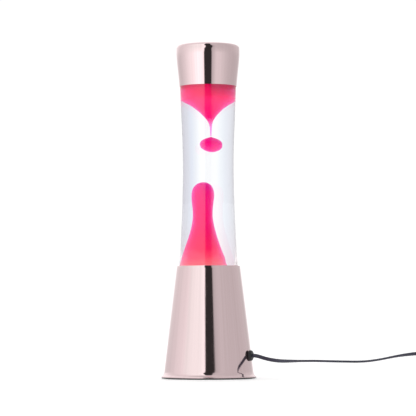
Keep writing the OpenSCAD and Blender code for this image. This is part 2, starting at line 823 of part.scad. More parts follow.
module metal_cap() {
    color([0.86, 0.72, 0.72])
    spin(concat(cap_side(0), [[0, cap_top], [0, cap_top - cap_t]], back(cap_side(cap_t))));
}

module cap_pad() {
    color([0.3, 0.3, 0.3])
    translate([0, 0, crown_top + 0.02]) cylinder(r = pad_r, h = cap_top - cap_t - crown_top - 0.04);
}

// ---- bulb ----

module bulb_contact() {
    color([0.8, 0.8, 0.8])
    translate([0, 0, bulb_z]) cylinder(r1 = 2, r2 = 3, h = 1.4);
}

module bulb_insulator() {
    color([0.1, 0.1, 0.1])
    translate([0, 0, bulb_z + 1.5]) cylinder(r1 = 3.4, r2 = screw_r - 0.9, h = 2);
}

module bulb_cap() {
    color([0.82, 0.82, 0.8])
    ring(screw_r, screw_r - 0.4, bulb_z + 3.5, bulb_z + 19.5);
}

// Envelope of the reflector bulb, moved in by a wall
function bulb_side(t) = concat(
    [[6.3 - t, bulb_z + 6]],
    bez([6.3 - t, bulb_z + 20], [7.5 - t, bulb_z + 32], [bulb_r - t - 0.5, bulb_z + 40],
        [bulb_r - t, bulb_z + bulb_h - 9.5], 12),
    bez([bulb_r - t, bulb_z + bulb_h - 8.5], [bulb_r - t - 1.5, bulb_z + bulb_h - t - 2],
        [10, bulb_z + bulb_h - t], [0, bulb_z + bulb_h - t], 8)
);

module bulb_glass() {
    color([0.9, 0.9, 0.88, 0.5])
    spin(concat(bulb_side(0), back(bulb_side(0.8)), [[0, bulb_z + 6.8], [0, bulb_z + 6]]));
}

module bulb_filament() {
    color([0.5, 0.5, 0.5]) {
        translate([0, 0, bulb_z + 6.8]) cylinder(r = 2.2, h = 22);
        for (s = [-1, 1]) translate([s * 1.5, 0, bulb_z + 28])
            cylinder(r = 0.35, h = 13, $fn = 16);
        translate([-5, 0, bulb_z + 41]) rotate([0, 90, 0]) cylinder(r = 0.6, h = 10, $fn = 16);
    }
}

base_shell();
base_plate();
foot_ring();
bottle_seat();
seat_gasket();
holder_bracket();
bracket_screws();
lamp_holder();
holder_sleeve();
holder_tongue();
holder_nipple();
nipple_nut();
terminal_screws();
wire_live();
wire_neutral();
cord_bush();
cord_lead();
cord_coil();
coil_tie();
cord_mid();
cord_end();
switch_base();
switch_cover();
switch_contacts();
switch_screws();
switch_rocker();
plug_body();
plug_pins();
glass_bottle();
clear_liquid();
wax_upper();
wax_lower();
wire_coil();
crown_closure();
crown_seal();
wax_drop();
metal_cap();
cap_pad();
bulb_contact();
bulb_cap();
bulb_insulator();
bulb_glass();
bulb_filament();
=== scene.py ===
"""Lava lamp: the visual model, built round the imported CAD. Metres, +Z up, the camera looks along +Y."""

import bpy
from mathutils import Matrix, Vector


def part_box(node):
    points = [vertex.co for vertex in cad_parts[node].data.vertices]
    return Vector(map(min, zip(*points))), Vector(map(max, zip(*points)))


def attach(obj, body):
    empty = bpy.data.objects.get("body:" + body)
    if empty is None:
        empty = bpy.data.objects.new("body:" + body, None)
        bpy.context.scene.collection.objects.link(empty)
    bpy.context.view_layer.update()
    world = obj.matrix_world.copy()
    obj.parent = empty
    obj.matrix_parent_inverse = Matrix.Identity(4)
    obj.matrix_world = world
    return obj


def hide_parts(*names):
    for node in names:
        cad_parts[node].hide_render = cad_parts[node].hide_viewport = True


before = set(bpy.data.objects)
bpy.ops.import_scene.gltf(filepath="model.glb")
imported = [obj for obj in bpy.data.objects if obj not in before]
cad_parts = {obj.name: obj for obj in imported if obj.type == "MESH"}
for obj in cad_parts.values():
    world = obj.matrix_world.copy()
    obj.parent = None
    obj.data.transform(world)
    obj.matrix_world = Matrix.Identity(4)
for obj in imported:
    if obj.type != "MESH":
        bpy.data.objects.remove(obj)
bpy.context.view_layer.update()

import math

import bmesh
import bpy
from mathutils import Matrix, Vector

MM = 0.001
TURN = 2 * math.pi
scene = bpy.context.scene
scene.view_settings.view_transform = "Standard"


# ---------------------------------------------------------------- camera

CAMERA_AWAY = 2.64
CAMERA_HIGH = 0.072
CAMERA_UP = math.radians(2.77)
CAMERA_LEFT = math.radians(0.0095)
CAMERA_ROLL = math.radians(-0.165)
FIELD = math.radians(10.56)


def make_camera():
    data = bpy.data.cameras.new("camera")
    data.angle = FIELD
    data.clip_end = 100
    camera = bpy.data.objects.new("camera", data)
    camera.location = (0, -CAMERA_AWAY, CAMERA_HIGH)
    camera.rotation_mode = "QUATERNION"
    aside, up = Matrix.Rotation(CAMERA_LEFT, 3, "Z"), Matrix.Rotation(math.pi / 2 + CAMERA_UP, 3, "X")
    camera.rotation_quaternion = (aside @ up @ Matrix.Rotation(CAMERA_ROLL, 3, "Z")).to_quaternion()
    scene.collection.objects.link(camera)
    scene.camera = camera


make_camera()


# ---------------------------------------------------------------- curves and meshes

def bezier(a, b, c, d, n):
    """A smooth curve from a to d that leaves towards b and arrives from c."""
    points = []
    for i in range(n + 1):
        t = i / n
        u = 1 - t
        points.append(tuple(
            u**3 * p + 3 * u * u * t * q + 3 * u * t * t * r + t**3 * s for p, q, r, s in zip(a, b, c, d)
        ))
    return points


def eased(t):
    """From 0 to 1 with a soft start and a soft end."""
    t = min(1.0, max(0.0, t))
    return t * t * (3 - 2 * t)


def arc(centre, radius, start, stop, n):
    """A round arc about a point, with its directions in degrees."""
    points = []
    for i in range(n + 1):
        a = math.radians(start + (stop - start) * i / n)
        points.append((centre[0] + radius * math.cos(a), centre[1] + radius * math.sin(a)))
    return points


def smooth_path(points, per_span):
    """A Catmull-Rom curve through points of any dimension."""
    points = [tuple(p) for p in points]
    ends = [points[0]] + points + [points[-1]]
    path = []
    for i in range(len(points) - 1):
        before, a, b, after = ends[i : i + 4]
        for k in range(per_span):
            t = k / per_span
            path.append(tuple(
                0.5 * (2 * q + (r - p) * t + (2 * p - 5 * q + 4 * r - s) * t * t
                       + (3 * q - p - 3 * r + s) * t**3)
                for p, q, r, s in zip(before, a, b, after)
            ))
    path.append(points[-1])
    return path


def finish_mesh(name, bm, materials, sharp=35):
    """Turns a bmesh into a piece with smooth faces and edges that stay sharp past an angle."""
    bmesh.ops.recalc_face_normals(bm, faces=bm.faces)
    mesh = bpy.data.meshes.new(name)
    bm.to_mesh(mesh)
    bm.free()
    mesh.polygons.foreach_set("use_smooth", [True] * len(mesh.polygons))
    mesh.set_sharp_from_angle(angle=math.radians(sharp))
    for m in materials if isinstance(materials, (list, tuple)) else [materials]:
        mesh.materials.append(m)
    piece = bpy.data.objects.new(name, mesh)
    scene.collection.objects.link(piece)
    return piece


def grid_faces(bm, rows, closed_rows=False):
    """Quads between rows of vertices that each close on themselves."""
    faces = []
    pairs = list(zip(rows, rows[1:]))
    if closed_rows:
        pairs.append((rows[-1], rows[0]))
    for low, high in pairs:
        if len(low) == 1 and len(high) == 1:
            continue
        n = max(len(low), len(high))
        for k in range(n):
            ring = [low[i % len(low)] for i in (k, k + 1)] + [high[i % len(high)] for i in (k + 1, k)]
            faces.append(bm.faces.new(list(dict.fromkeys(ring))))
    return faces


def lathe(name, outline, materials, segments=192, wobble=None, inner_from=None, sharp=35):
    """A piece turned about the upright axis from points (radius, height) in mm.

    wobble(angle, radius, height), in metres, is added to the radius. Faces after inner_from points get
    the second material.
    """
    bm = bmesh.new()
    rows = []
    for r, z in [(r * MM, z * MM) for r, z in outline]:
        if r < 1e-7:
            rows.append([bm.verts.new((0, 0, z))])
            continue
        row = []
        for k in range(segments):
            a = TURN * k / segments
            here = r + (wobble(a, r, z) if wobble else 0)
            row.append(bm.verts.new((here * math.cos(a), here * math.sin(a), z)))
        rows.append(row)
    for i, (low, high) in enumerate(zip(rows, rows[1:])):
        for f in grid_faces(bm, [low, high]):
            f.material_index = int(inner_from is not None and i >= inner_from)
    if len(rows[0]) > 1 or len(rows[-1]) > 1:
        grid_faces(bm, [rows[-1], rows[0]])
    return finish_mesh(name, bm, materials, sharp)


def stack(name, stations, materials, segments=96, per_span=6):
    """A soft blob from stations (height, middle x, radius) in mm, joined smoothly."""
    bm = bmesh.new()
    rows = []
    angles = [TURN * k / segments for k in range(segments)]
    for z, x, r in smooth_path(stations, per_span):
        if r < 0.02:
            rows.append([bm.verts.new((x * MM, 0, z * MM))])
            continue
        ring = [((x + r * math.cos(a)) * MM, r * MM * math.sin(a), z * MM) for a in angles]
        rows.append([bm.verts.new(p) for p in ring])
    grid_faces(bm, rows)
    for end in (rows[0], rows[-1]):
        if len(end) > 1:
            bm.faces.new(end)
    return finish_mesh(name, bm, materials, 60)


def sweep(name, path, section, materials, roll=None, sharp=60):
    """A flexible section, points (across, up) in m, carried along a path in m and rolled about it."""
    bm = bmesh.new()
    rows = []
    path = [Vector(p) for p in path]
    for i, p in enumerate(path):
        along = (path[min(i + 1, len(path) - 1)] - path[max(i - 1, 0)]).normalized()
        side = along.cross(Vector((0, 0, 1))).normalized()
        up = side.cross(along)
        turn = roll(i, p) if roll else 0
        c, s = math.cos(turn), math.sin(turn)
        rows.append([bm.verts.new(p + side * (a * c - b * s) + up * (a * s + b * c)) for a, b in section])
    grid_faces(bm, rows)
    bm.faces.new(rows[0])
    bm.faces.new(rows[-1])
    return finish_mesh(name, bm, materials, sharp)


def slab(name, outline, low, high, materials, round_top, round_low, steps=4):
    """An outline in mm, drawn up from low to high, with its top and bottom edges rounded."""
    bm = bmesh.new()
    base = [bm.verts.new((x * MM, y * MM, low * MM)) for x, y in outline]
    face = bm.faces.new(base)
    grown = bmesh.ops.extrude_face_region(bm, geom=[face])
    top = [v for v in grown["geom"] if isinstance(v, bmesh.types.BMVert)]
    bmesh.ops.translate(bm, verts=top, vec=(0, 0, (high - low) * MM))
    for z, width in ((high, round_top), (low, round_low)):
        edges = [e for e in bm.edges if all(abs(v.co.z - z * MM) < 1e-6 for v in e.verts)]
        bmesh.ops.bevel(
            bm, geom=edges, offset=width * MM, segments=steps, profile=0.5, affect="EDGES",
            clamp_overlap=True,
        )
    return finish_mesh(name, bm, materials, 40)


def join(name, objects):
    """Several meshes as one piece."""
    bm = bmesh.new()
    slots = []
    for o in objects:
        start = len(bm.faces)
        bm.from_mesh(o.data)
        bm.faces.ensure_lookup_table()
        for f in bm.faces[start:]:
            m = o.data.materials[min(f.material_index, len(o.data.materials) - 1)]
            if m not in slots:
                slots.append(m)
            f.material_index = slots.index(m)
        bpy.data.objects.remove(o)
    mesh = bpy.data.meshes.new(name)
    bm.to_mesh(mesh)
    bm.free()
    for m in slots:
        mesh.materials.append(m)
    piece = bpy.data.objects.new(name, mesh)
    scene.collection.objects.link(piece)
    return piece


def settle(piece):
    """Turns what a piece's modifiers do to it into its mesh."""
    bpy.context.view_layer.update()
    graph = bpy.context.evaluated_depsgraph_get()
    mesh = bpy.data.meshes.new_from_object(piece.evaluated_get(graph))
    piece.modifiers.clear()
    piece.data = mesh
    return piece


def cut(piece, tool):
    """Takes the tool's space out of the piece."""
    modifier = piece.modifiers.new("cut", "BOOLEAN")
    modifier.operation = "DIFFERENCE"
    modifier.solver = "EXACT"
    modifier.object = tool
    settle(piece)
    bpy.data.objects.remove(tool)
    return piece


def even_shading(piece):
    """Lets the large faces of a cut piece lead the shading, so that they look flat."""
    piece.modifiers.new("even", "WEIGHTED_NORMAL").keep_sharp = True
    return settle(piece)


def rod(centre, direction, radius, length, segments=48):
    """A plain round tool for cutting, in mm."""
    bm = bmesh.new()
    bmesh.ops.create_cone(
        bm, cap_ends=True, segments=segments, radius1=radius * MM, radius2=radius * MM, depth=length * MM
    )
    turn = Vector((0, 0, 1)).rotation_difference(Vector(direction)).to_matrix().to_4x4()
    bm.transform(Matrix.Translation(Vector(centre) * MM) @ turn)
    return finish_mesh("tool", bm, [])


def place(piece, body, slot, *nodes):
    """Rides a piece on its body and hides the CAD nodes that it stands for. Its slot is not used."""
    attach(piece, body)
    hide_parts(*nodes)
    return piece


# ---------------------------------------------------------------- materials

def material(name, color, rough=0.5, metal=0.0, sockets=None):
    m = bpy.data.materials.new(name)
    m.use_nodes = True
    p = m.node_tree.nodes["Principled BSDF"]
    p.inputs["Base Color"].default_value = (*color, 1)
    p.inputs["Roughness"].default_value = rough
    p.inputs["Metallic"].default_value = metal
    for key, value in (sockets or {}).items():
        p.inputs[key].default_value = value
    return m


def add(m, kind, values=None, **settings):
    """A node with its settings and the values of its inputs; an output given as a value is linked."""
    node = m.node_tree.nodes.new(kind)
    for key, value in settings.items():
        setattr(node, key, value)
    for key, value in (values or {}).items():
        if isinstance(value, bpy.types.NodeSocket):
            m.node_tree.links.new(value, node.inputs[key])
        else:
            node.inputs[key].default_value = value
    return node


def principled(m):
    return m.node_tree.nodes["Principled BSDF"]


def link(m, output, socket):
    m.node_tree.links.new(output, principled(m).inputs[socket])


def object_point(m):
    return add(m, "ShaderNodeTexCoord").outputs["Object"]


def stretched(m, scale):
    """The object's coordinates, stretched along each axis."""
    return add(m, "ShaderNodeMapping", {"Vector": object_point(m), "Scale": scale}).outputs["Vector"]


def noise(m, scale, detail=3.0, vector=None):
    vector = vector or object_point(m)
    node = add(m, "ShaderNodeTexNoise", {"Vector": vector, "Scale": scale, "Detail": detail})
    return node.outputs["Fac"]


def ranged(m, value, low, high, start=0.3, stop=0.7):
    """Maps a value's usual range to low..high."""
    values = {"Value": value, "From Min": start, "From Max": stop, "To Min": low, "To Max": high}
    return add(m, "ShaderNodeMapRange", values).outputs["Result"]


def mixed_color(m, factor, a, b):
    """Goes from a to b with the factor. Each is a colour of three numbers or a node's output."""
    node = add(m, "ShaderNodeMix", {"Factor": factor}, data_type="RGBA")
    for socket, value in zip([s for s in node.inputs if s.type == "RGBA"], (a, b)):
        if isinstance(value, tuple):
            socket.default_value = (*value, 1)
        else:
            m.node_tree.links.new(value, socket)
    return [s for s in node.outputs if s.type == "RGBA"][0]


def ramp(m, share, stops):
    """The colour at a share of the way, from stops (share, colour)."""
    node = add(m, "ShaderNodeValToRGB", {"Fac": share})
    elements = node.color_ramp.elements
    while len(elements) < len(stops):
        elements.new(0.5)
    for element, (at, color) in zip(elements, stops):
        element.position = at
        element.color = (*color, 1)
    return node.outputs["Color"]


def calc(m, operation, a, b):
    return add(m, "ShaderNodeMath", {0: a, 1: b}, operation=operation).outputs["Value"]


def vector_calc(m, operation, values):
    return add(m, "ShaderNodeVectorMath", values, operation=operation).outputs["Vector"]


def split(m, vector):
    """The X, Y and Z of a vector."""
    return add(m, "ShaderNodeSeparateXYZ", {"Vector": vector}).outputs


def show_mix(m, factor, first, second, output):
    """Sends one shader to the output node where the factor is 0, and the other where it is 1."""
    mix = add(m, "ShaderNodeMixShader", {0: factor, 1: first, 2: second})
    m.node_tree.links.new(mix.outputs["Shader"], output.inputs["Surface"])


def bump(m, height, strength, distance):
    node = add(m, "ShaderNodeBump", {"Height": height, "Strength": strength, "Distance": distance})
    link(m, node.outputs["Normal"], "Normal")


def plastic(name, color, rough, grain=2500, depth=0.00003, sockets=None):
    """Moulded plastic: fine spark grain, uneven gloss and slight wear of its tone."""
    m = material(name, color, rough, 0, sockets)
    paler = tuple(min(1, c * 1.35 + 0.004) for c in color)
    link(m, mixed_color(m, ranged(m, noise(m, 60), 0, 1), color, paler), "Base Color")
    link(m, ranged(m, noise(m, 180, 5), rough * 0.85, min(1, rough * 1.2)), "Roughness")
    bump(m, noise(m, grain, 2), 0.35, depth)
    return m


def plated(name, color, rough, lines=(1, 1, 30), depth=0.00001):
    """Plated or drawn metal with fine lines and smudged gloss."""
    m = material(name, color, rough, 1)
    darker = tuple(c * 0.86 for c in color)
    link(m, mixed_color(m, ranged(m, noise(m, 90), 0, 1), color, darker), "Base Color")
    link(m, ranged(m, noise(m, 250, 4), rough * 0.7, rough * 1.4), "Roughness")
    bump(m, noise(m, 120, 2, stretched(m, lines)), 0.3, depth)
    return m


def round_the_axis(m, around, upward):
    """Coordinates that follow a turned wall: even and seamless round it, with their own scale upward."""
    point = split(m, object_point(m))
    flat = add(m, "ShaderNodeCombineXYZ", {"X": point["X"], "Y": point["Y"]}).outputs["Vector"]
    unit = vector_calc(m, "NORMALIZE", {0: flat})
    ring = vector_calc(m, "SCALE", {0: unit, "Scale": around})
    height = calc(m, "MULTIPLY", point["Z"], upward)
    lift = add(m, "ShaderNodeCombineXYZ", {"Z": height}).outputs["Vector"]
    return vector_calc(m, "ADD", {0: ring, 1: lift})


ROSE_TONE = (0.86, 0.675, 0.69)
ROSE_SHADE = (0.83, 0.64, 0.655)


def rose_metal(name, rough_low, rough_high):
    """Rose metal with faint upright polishing streaks, fine spun rings and soft smudges."""
    m = material(name, ROSE_TONE, 0.07, 1)
    streaks = noise(m, 1.0, 4, round_the_axis(m, 26, 2.5))
    smudges = noise(m, 22, 3)
    link(m, mixed_color(m, ranged(m, streaks, 0, 1), ROSE_TONE, ROSE_SHADE), "Base Color")
    uneven = calc(m, "MULTIPLY", streaks, smudges)
    link(m, ranged(m, uneven, rough_low, rough_high, 0.15, 0.4), "Roughness")
    rings = noise(m, 1.0, 2, round_the_axis(m, 3, 2600))
    bump(m, calc(m, "ADD", rings, streaks), 0.12, 0.000008)
    return m


def over_clear(m, clear_part, tint):
    """Shows a material's own surface, and a tinted nothing for its clear part."""
    through = add(m, "ShaderNodeBsdfTransparent", {"Color": (*tint, 1)})
    output = m.node_tree.nodes["Material Output"]
    show_mix(m, clear_part, principled(m).outputs["BSDF"], through.outputs["BSDF"], output)


def clear(name, color, ior):
    """Glass or liquid that light reaches through: shadow and diffuse rays pass straight."""
    m = material(name, color, 0.0, 0, {"Transmission Weight": 1.0, "IOR": ior})
    path = add(m, "ShaderNodeLightPath").outputs
    over_clear(m, calc(m, "MAXIMUM", path["Is Shadow Ray"], path["Is Diffuse Ray"]), (1, 1, 1))
    return m


GLASS_IOR = 1.6
LIQUID_IOR = 1.34
GLASS_TONE = (0.99, 0.995, 1.0)
GLASS_PAINTED_WAX_LIGHT = (1.0, 0.91, 0.925)  # painted light: pink low on the bottle, standing in for the glow of the lit wax

WAX_TONES_PAINTED_LIGHT = [  # height in mm, and the colour of the wax there, with painted light: warmer and paler low down where the bulb lights it from below, and darker at the very top in painted shade under the cap
    (134, (0.96, 0.16, 0.21)), (142, (0.96, 0.06, 0.15)), (152, (0.96, 0.008, 0.11)),
    (175, (0.95, 0.002, 0.16)), (215, (0.88, 0.002, 0.20)), (228, (0.80, 0.004, 0.26)),
    (268, (0.90, 0.003, 0.25)), (282, (0.88, 0.002, 0.23)), (312, (0.88, 0.002, 0.16)),
    (328, (0.92, 0.012, 0.14)), (337, (0.90, 0.003, 0.12)), (345, (0.72, 0.001, 0.09)),
]
GLOW = (0.126, 0.165, 2.4)  # the bulb's light from below: low and high end in m, and its most
POOL_SHADE = (0.60, 0.001, 0.085)
# Painted light: the paler pink of the drop's underside, as if lit by the bulb below.
BLOB_PAINTED_UNDERLIGHT = (1.0, 0.25, 0.48)
EDGE_TINT = (1.0, 0.64, 0.98)


def under_cap(m):
    """From 0 to 1 where the cap shades the right side of what is just under it."""
    point = split(m, object_point(m))
    side = ranged(m, point["X"], 0, 1, 0.001, 0.005)
    return calc(m, "MULTIPLY", side, ranged(m, point["Z"], 0, 1, 0.329, 0.341))


def wax(name, spread, fade, painted_underlight=0.0, thin=None):
    """Translucent wax: deep pink where it is thick, and pale and see-through towards its edges.

    fade is the power and the most of the clear edge, painted_underlight how far the underside pales in
    painted light from the bulb below, and thin the low and high end, in m, between which the strand turns
    clear, and how clear.
    """
    m = material(name, (0.95, 0.01, 0.16), 0.35, 0, {
        "Subsurface Weight": 1.0, "Subsurface Radius": (1.0, 0.35, 0.5), "Subsurface Scale": spread,
        "IOR": 1.04,
    })
    z = split(m, object_point(m))["Z"]
    low, high = WAX_TONES_PAINTED_LIGHT[0][0], WAX_TONES_PAINTED_LIGHT[-1][0]
    height = ranged(m, z, 0, 1, low * MM, high * MM)
    height = calc(m, "ADD", height, ranged(m, noise(m, 70, 3), -0.012, 0.012))
    # The tone by height carries painted light from the bulb below and painted shade under the cap.
    tone = ramp(m, height, [((at - low) / (high - low), color) for at, color in WAX_TONES_PAINTED_LIGHT])
    normal = add(m, "ShaderNodeNewGeometry").outputs["Normal"]
    if thin:
        tone = mixed_color(m, under_cap(m), tone, POOL_SHADE)
    # Painted light from below: the underside turns paler the more it faces down.
    if painted_underlight:
        tone = mixed_color(m, ranged(m, split(m, normal)["Z"], painted_underlight, 0, -1.0, 0.0), tone, BLOB_PAINTED_UNDERLIGHT)
    link(m, tone, "Base Color")
    # Painted glow: the wax, which is no lamp, emits its own tone at strength 0.25, up to 2.4 times that low
    # down, standing in for the bulb's light from below.
    glow = ranged(m, z, GLOW[2], 1.0, GLOW[0], GLOW[1])
    link(m, vector_calc(m, "SCALE", {0: tone, "Scale": glow}), "Emission Color")
    principled(m).inputs["Emission Strength"].default_value = 0.25
    flat = vector_calc(m, "MULTIPLY", {0: normal, 1: (1, 1, 0.5)})
    flat = vector_calc(m, "NORMALIZE", {0: flat})
    facing = add(m, "ShaderNodeLayerWeight", {"Blend": 0.5, "Normal": flat}).outputs["Facing"]
    clear_part = calc(m, "MULTIPLY", calc(m, "POWER", facing, fade[0]), fade[1])
    if thin:
        clear_part = calc(m, "MAXIMUM", clear_part, ranged(m, z, thin[2], 0.0, thin[0], thin[1]))
    behind = add(m, "ShaderNodeNewGeometry").outputs["Backfacing"]
    over_clear(m, calc(m, "MAXIMUM", clear_part, behind), EDGE_TINT)
    return m


ROSE = rose_metal("rose_metal", 0.045, 0.12)
ROSE_TOP = rose_metal("rose_top", 0.45, 0.57)  # the cap's flat top: spun, not polished
GLASS_OUT = clear("bottle_glass", GLASS_TONE, GLASS_IOR)
GLASS_IN = clear("bottle_glass_wet", (1, 1, 1), GLASS_IOR / LIQUID_IOR)
# Painted light: the outer glass turns pink low down, near the lit wax.
glass_height = ranged(GLASS_OUT, split(GLASS_OUT, object_point(GLASS_OUT))["Z"], 0, 1, 0.132, 0.185)
link(GLASS_OUT, mixed_color(GLASS_OUT, glass_height, GLASS_PAINTED_WAX_LIGHT, GLASS_TONE), "Base Color")
LIQUID = clear("liquid", (0.985, 0.99, 1.0), 1.0)
WAX_MASS = wax("wax_mass", 0.006, (1.8, 0.62))
WAX_POOL = wax("wax_pool", 0.006, (1.8, 0.62), thin=(0.294, 0.3055, 0.86))
WAX_SMALL = wax("wax_small", 0.004, (2.0, 0.5), painted_underlight=0.2)
CORD = plastic("cord_pvc", (0.036, 0.034, 0.056), 0.42, 1800, 0.00002)
BUSH = plastic("bush_plastic", (0.012, 0.012, 0.015), 0.3, 1500, 0.00001)
BLACK = plastic("black_plastic", (0.018, 0.018, 0.02), 0.5)
RUBBER = plastic("foot_rubber", (0.035, 0.033, 0.033), 0.8, 1600, 0.00005)
SWITCH = plastic("switch_plastic", (0.02, 0.02, 0.022), 0.48, 2600, 0.00004)
ROCKER = plastic("rocker_plastic", (0.014, 0.014, 0.016), 0.22, 900, 0.000004)
PLUG = plastic("plug_pvc", (0.02, 0.02, 0.022), 0.55, 2200, 0.00004)
STRAP = plastic("tie_strap", (0.012, 0.012, 0.013), 0.85, 900, 0.00012)
NICKEL = plated("pin_nickel", (0.78, 0.76, 0.72), 0.16)
STEEL = plated("bare_steel", (0.56, 0.56, 0.57), 0.3)
ZINC = plated("zinc_steel", (0.62, 0.63, 0.62), 0.34, (30, 1, 1))
BRASS = plated("contact_brass", (0.76, 0.58, 0.28), 0.24, (1, 1, 25))
TIN = plated("tin_plate", (0.72, 0.72, 0.72), 0.28)
SHELL = plated("bulb_shell", (0.72, 0.72, 0.7), 0.22)
SOLDER = plated("solder", (0.5, 0.5, 0.5), 0.4)
GASKET = plastic("gasket_rubber", (0.09, 0.09, 0.09), 0.75, 1500, 0.00004)
HOLDER = plastic("holder_plastic", (0.78, 0.76, 0.7), 0.3, 1500, 0.00001)
BROWN = plastic("brown_insulation", (0.16, 0.06, 0.02), 0.4)
BLUE = plastic("blue_insulation", (0.02, 0.09, 0.38), 0.4)
LINER = plastic("seal_liner", (0.7, 0.68, 0.62), 0.7)
FOAM = plastic("pad_foam", (0.1, 0.1, 0.1), 0.9, 500, 0.0004)
VITRITE = plastic("black_glass", (0.01, 0.01, 0.012), 0.12, 700, 0.000004)


# ---------------------------------------------------------------- lead

WIDE = 4.4 * MM  # the flat lead's width
THICK = 2.4 * MM
BUSH_TURN = math.radians(-20)  # the bush looks this way round from +X
BUSH_Z = (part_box("cord_bush")[0].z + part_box("cord_bush")[1].z) / 2
BASE_LOW, BASE_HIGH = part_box("base_shell")
RIM_R, RIM_Z = 37.1, BASE_HIGH.z / MM
SKIRT_R, SKIRT_Z = 52.4, 8.0
CONE_SLOPE = (SKIRT_R - RIM_R) / (RIM_Z - SKIRT_Z)
BUSH_WALL = SKIRT_R - (BUSH_Z / MM - SKIRT_Z) * CONE_SLOPE  # radius of the cone at the bush, in mm
BUSH_FACE = (BUSH_WALL + 4.1) * MM
COIL_MIDDLE = Vector((282, -8.5)) * MM
COIL_INNER = 23.5 * MM
COIL_OUTER = 27.9 * MM
COIL_TURNS, INNER_TURNS = 9, 6
COIL_STEPS = 48  # to a turn
PITCH = 4.4 * MM

LEAD = [
    (56.2, -20.7, 26.4), (60.8, -23.4, 25.1), (65.2, -27.2, 23.8), (70, -32, 22.7), (76, -37.9, 21.7),
    (83, -43.5, 21.1), (91, -47.9, 21), (100, -50.8, 21.1), (110, -52.3, 21.2), (122, -52.8, 21.2),
    (134, -52.6, 20.9), (146, -51.8, 20.6), (158, -50.3, 20.3), (170, -48.2, 20.1), (181, -45.8, 20.5),
    (191, -43.4, 21.6), (200, -41.2, 23), (209, -39, 24.7), (218, -37, 26.3), (228, -35.1, 27.7),
    (239, -33.5, 28.8), (250, -32.5, 29.4), (261, -32.1, 29.5), (272, -32, 29.3), (282, -32, 29.2),
]
TO_SWITCH = [
    (282, -36.4, 13.8), (289, -36.4, 12.6), (297, -36.4, 11.2), (305.5, -35.4, 9.8), (314, -32.4, 8.9),
    (321, -28, 8.5), (326.4, -22.4, 8.5), (329.2, -17, 8.5), (330, -12.5, 8.5), (330, -8.5, 8.5),
]
TO_PLUG = [
    (330, 43, 8.5), (330.4, 50, 7), (332.5, 57, 4.6), (337, 64, 2.8), (343.5, 69, 2.2), (351, 70.5, 2.2),
    (358.5, 69, 2.8), (365, 64, 4.2), (369.5, 57, 5.8), (371, 50, 6.8), (371, 44, 6.85),
]


def in_metres(points):
    return [tuple(c * MM for c in p) for p in points]


def along_bush(radius):
    return (radius * math.cos(BUSH_TURN), radius * math.sin(BUSH_TURN), BUSH_Z)


def coil_path():
    """Six turns down the inner column, a half turn outwards, and two and a half turns up the outer one."""
    points = []
    top = LEAD[-1][2] * MM
    low = top - INNER_TURNS * PITCH
    for i in range(1, COIL_TURNS * COIL_STEPS):
        turns = i / COIL_STEPS
        more = turns - INNER_TURNS
        a = TURN * turns - math.pi / 2
        if more <= 0:
            r, z = COIL_INNER, top - PITCH * turns
        elif more <= 0.5:
            r, z = COIL_INNER + (COIL_OUTER - COIL_INNER) * eased(more * 2), low
        else:
            r, z = COIL_OUTER, low + PITCH * (more - 0.5)
        points.append((COIL_MIDDLE.x + r * math.cos(a), COIL_MIDDLE.y + r * math.sin(a), z))
    return points


def twin_section():
    """The flat twin lead's section: two round cores and a shallow groove between them."""
    half, lobe = WIDE / 2 - THICK / 2, THICK / 2
    right = arc((half, 0), lobe, -90, 90, 8)
    left = [(-x, -y) for x, y in right]
    groove = 0.82 * lobe
    return right + [(0.0, groove)] + left + [(0.0, -groove)]


def make_lead():
    per_span = 5
    route = [along_bush(r * MM) for r in (34, 44, 54)] + in_metres(LEAD)
    path = smooth_path(route, per_span) + coil_path() + smooth_path(in_metres(TO_SWITCH), 4)
    path += smooth_path(in_metres(TO_PLUG), per_span)
    length = sum((Vector(a) - Vector(b)).length for a, b in zip(path, path[1:]))
    first_coil = (len(route) - 1) * per_span
    last_coil = first_coil + COIL_TURNS * COIL_STEPS

    def roll(i, p):
        """On edge by the bush, flat along its free span, and on edge again in the coil."""
        if i <= first_coil:
            flat, edge = eased((p.x - 0.066) / 0.045), eased((p.x - 0.2) / 0.07)
            return math.radians(86 - 80 * flat + 84 * edge)
        return math.pi / 2 * (1 - eased((i - last_coil) / 16))

    lead = sweep("flat_lead", path, twin_section(), CORD, roll)
    place(lead, "base", "cord_pvc", "cord_lead", "cord_coil", "cord_mid", "cord_end")
    return lead, path, length


lead, lead_path, lead_length = make_lead()


# ---------------------------------------------------------------- base and cap

FOOT_R = BASE_HIGH.x / MM
SHELL_T = 0.9
CONE_A = math.degrees(math.atan(CONE_SLOPE))
FLARE_R = 6.5
FLARE_END = 236  # where the flare's arc stops, in degrees
LIP_H = 1.2
BUSH_HOLE_R = 4.9


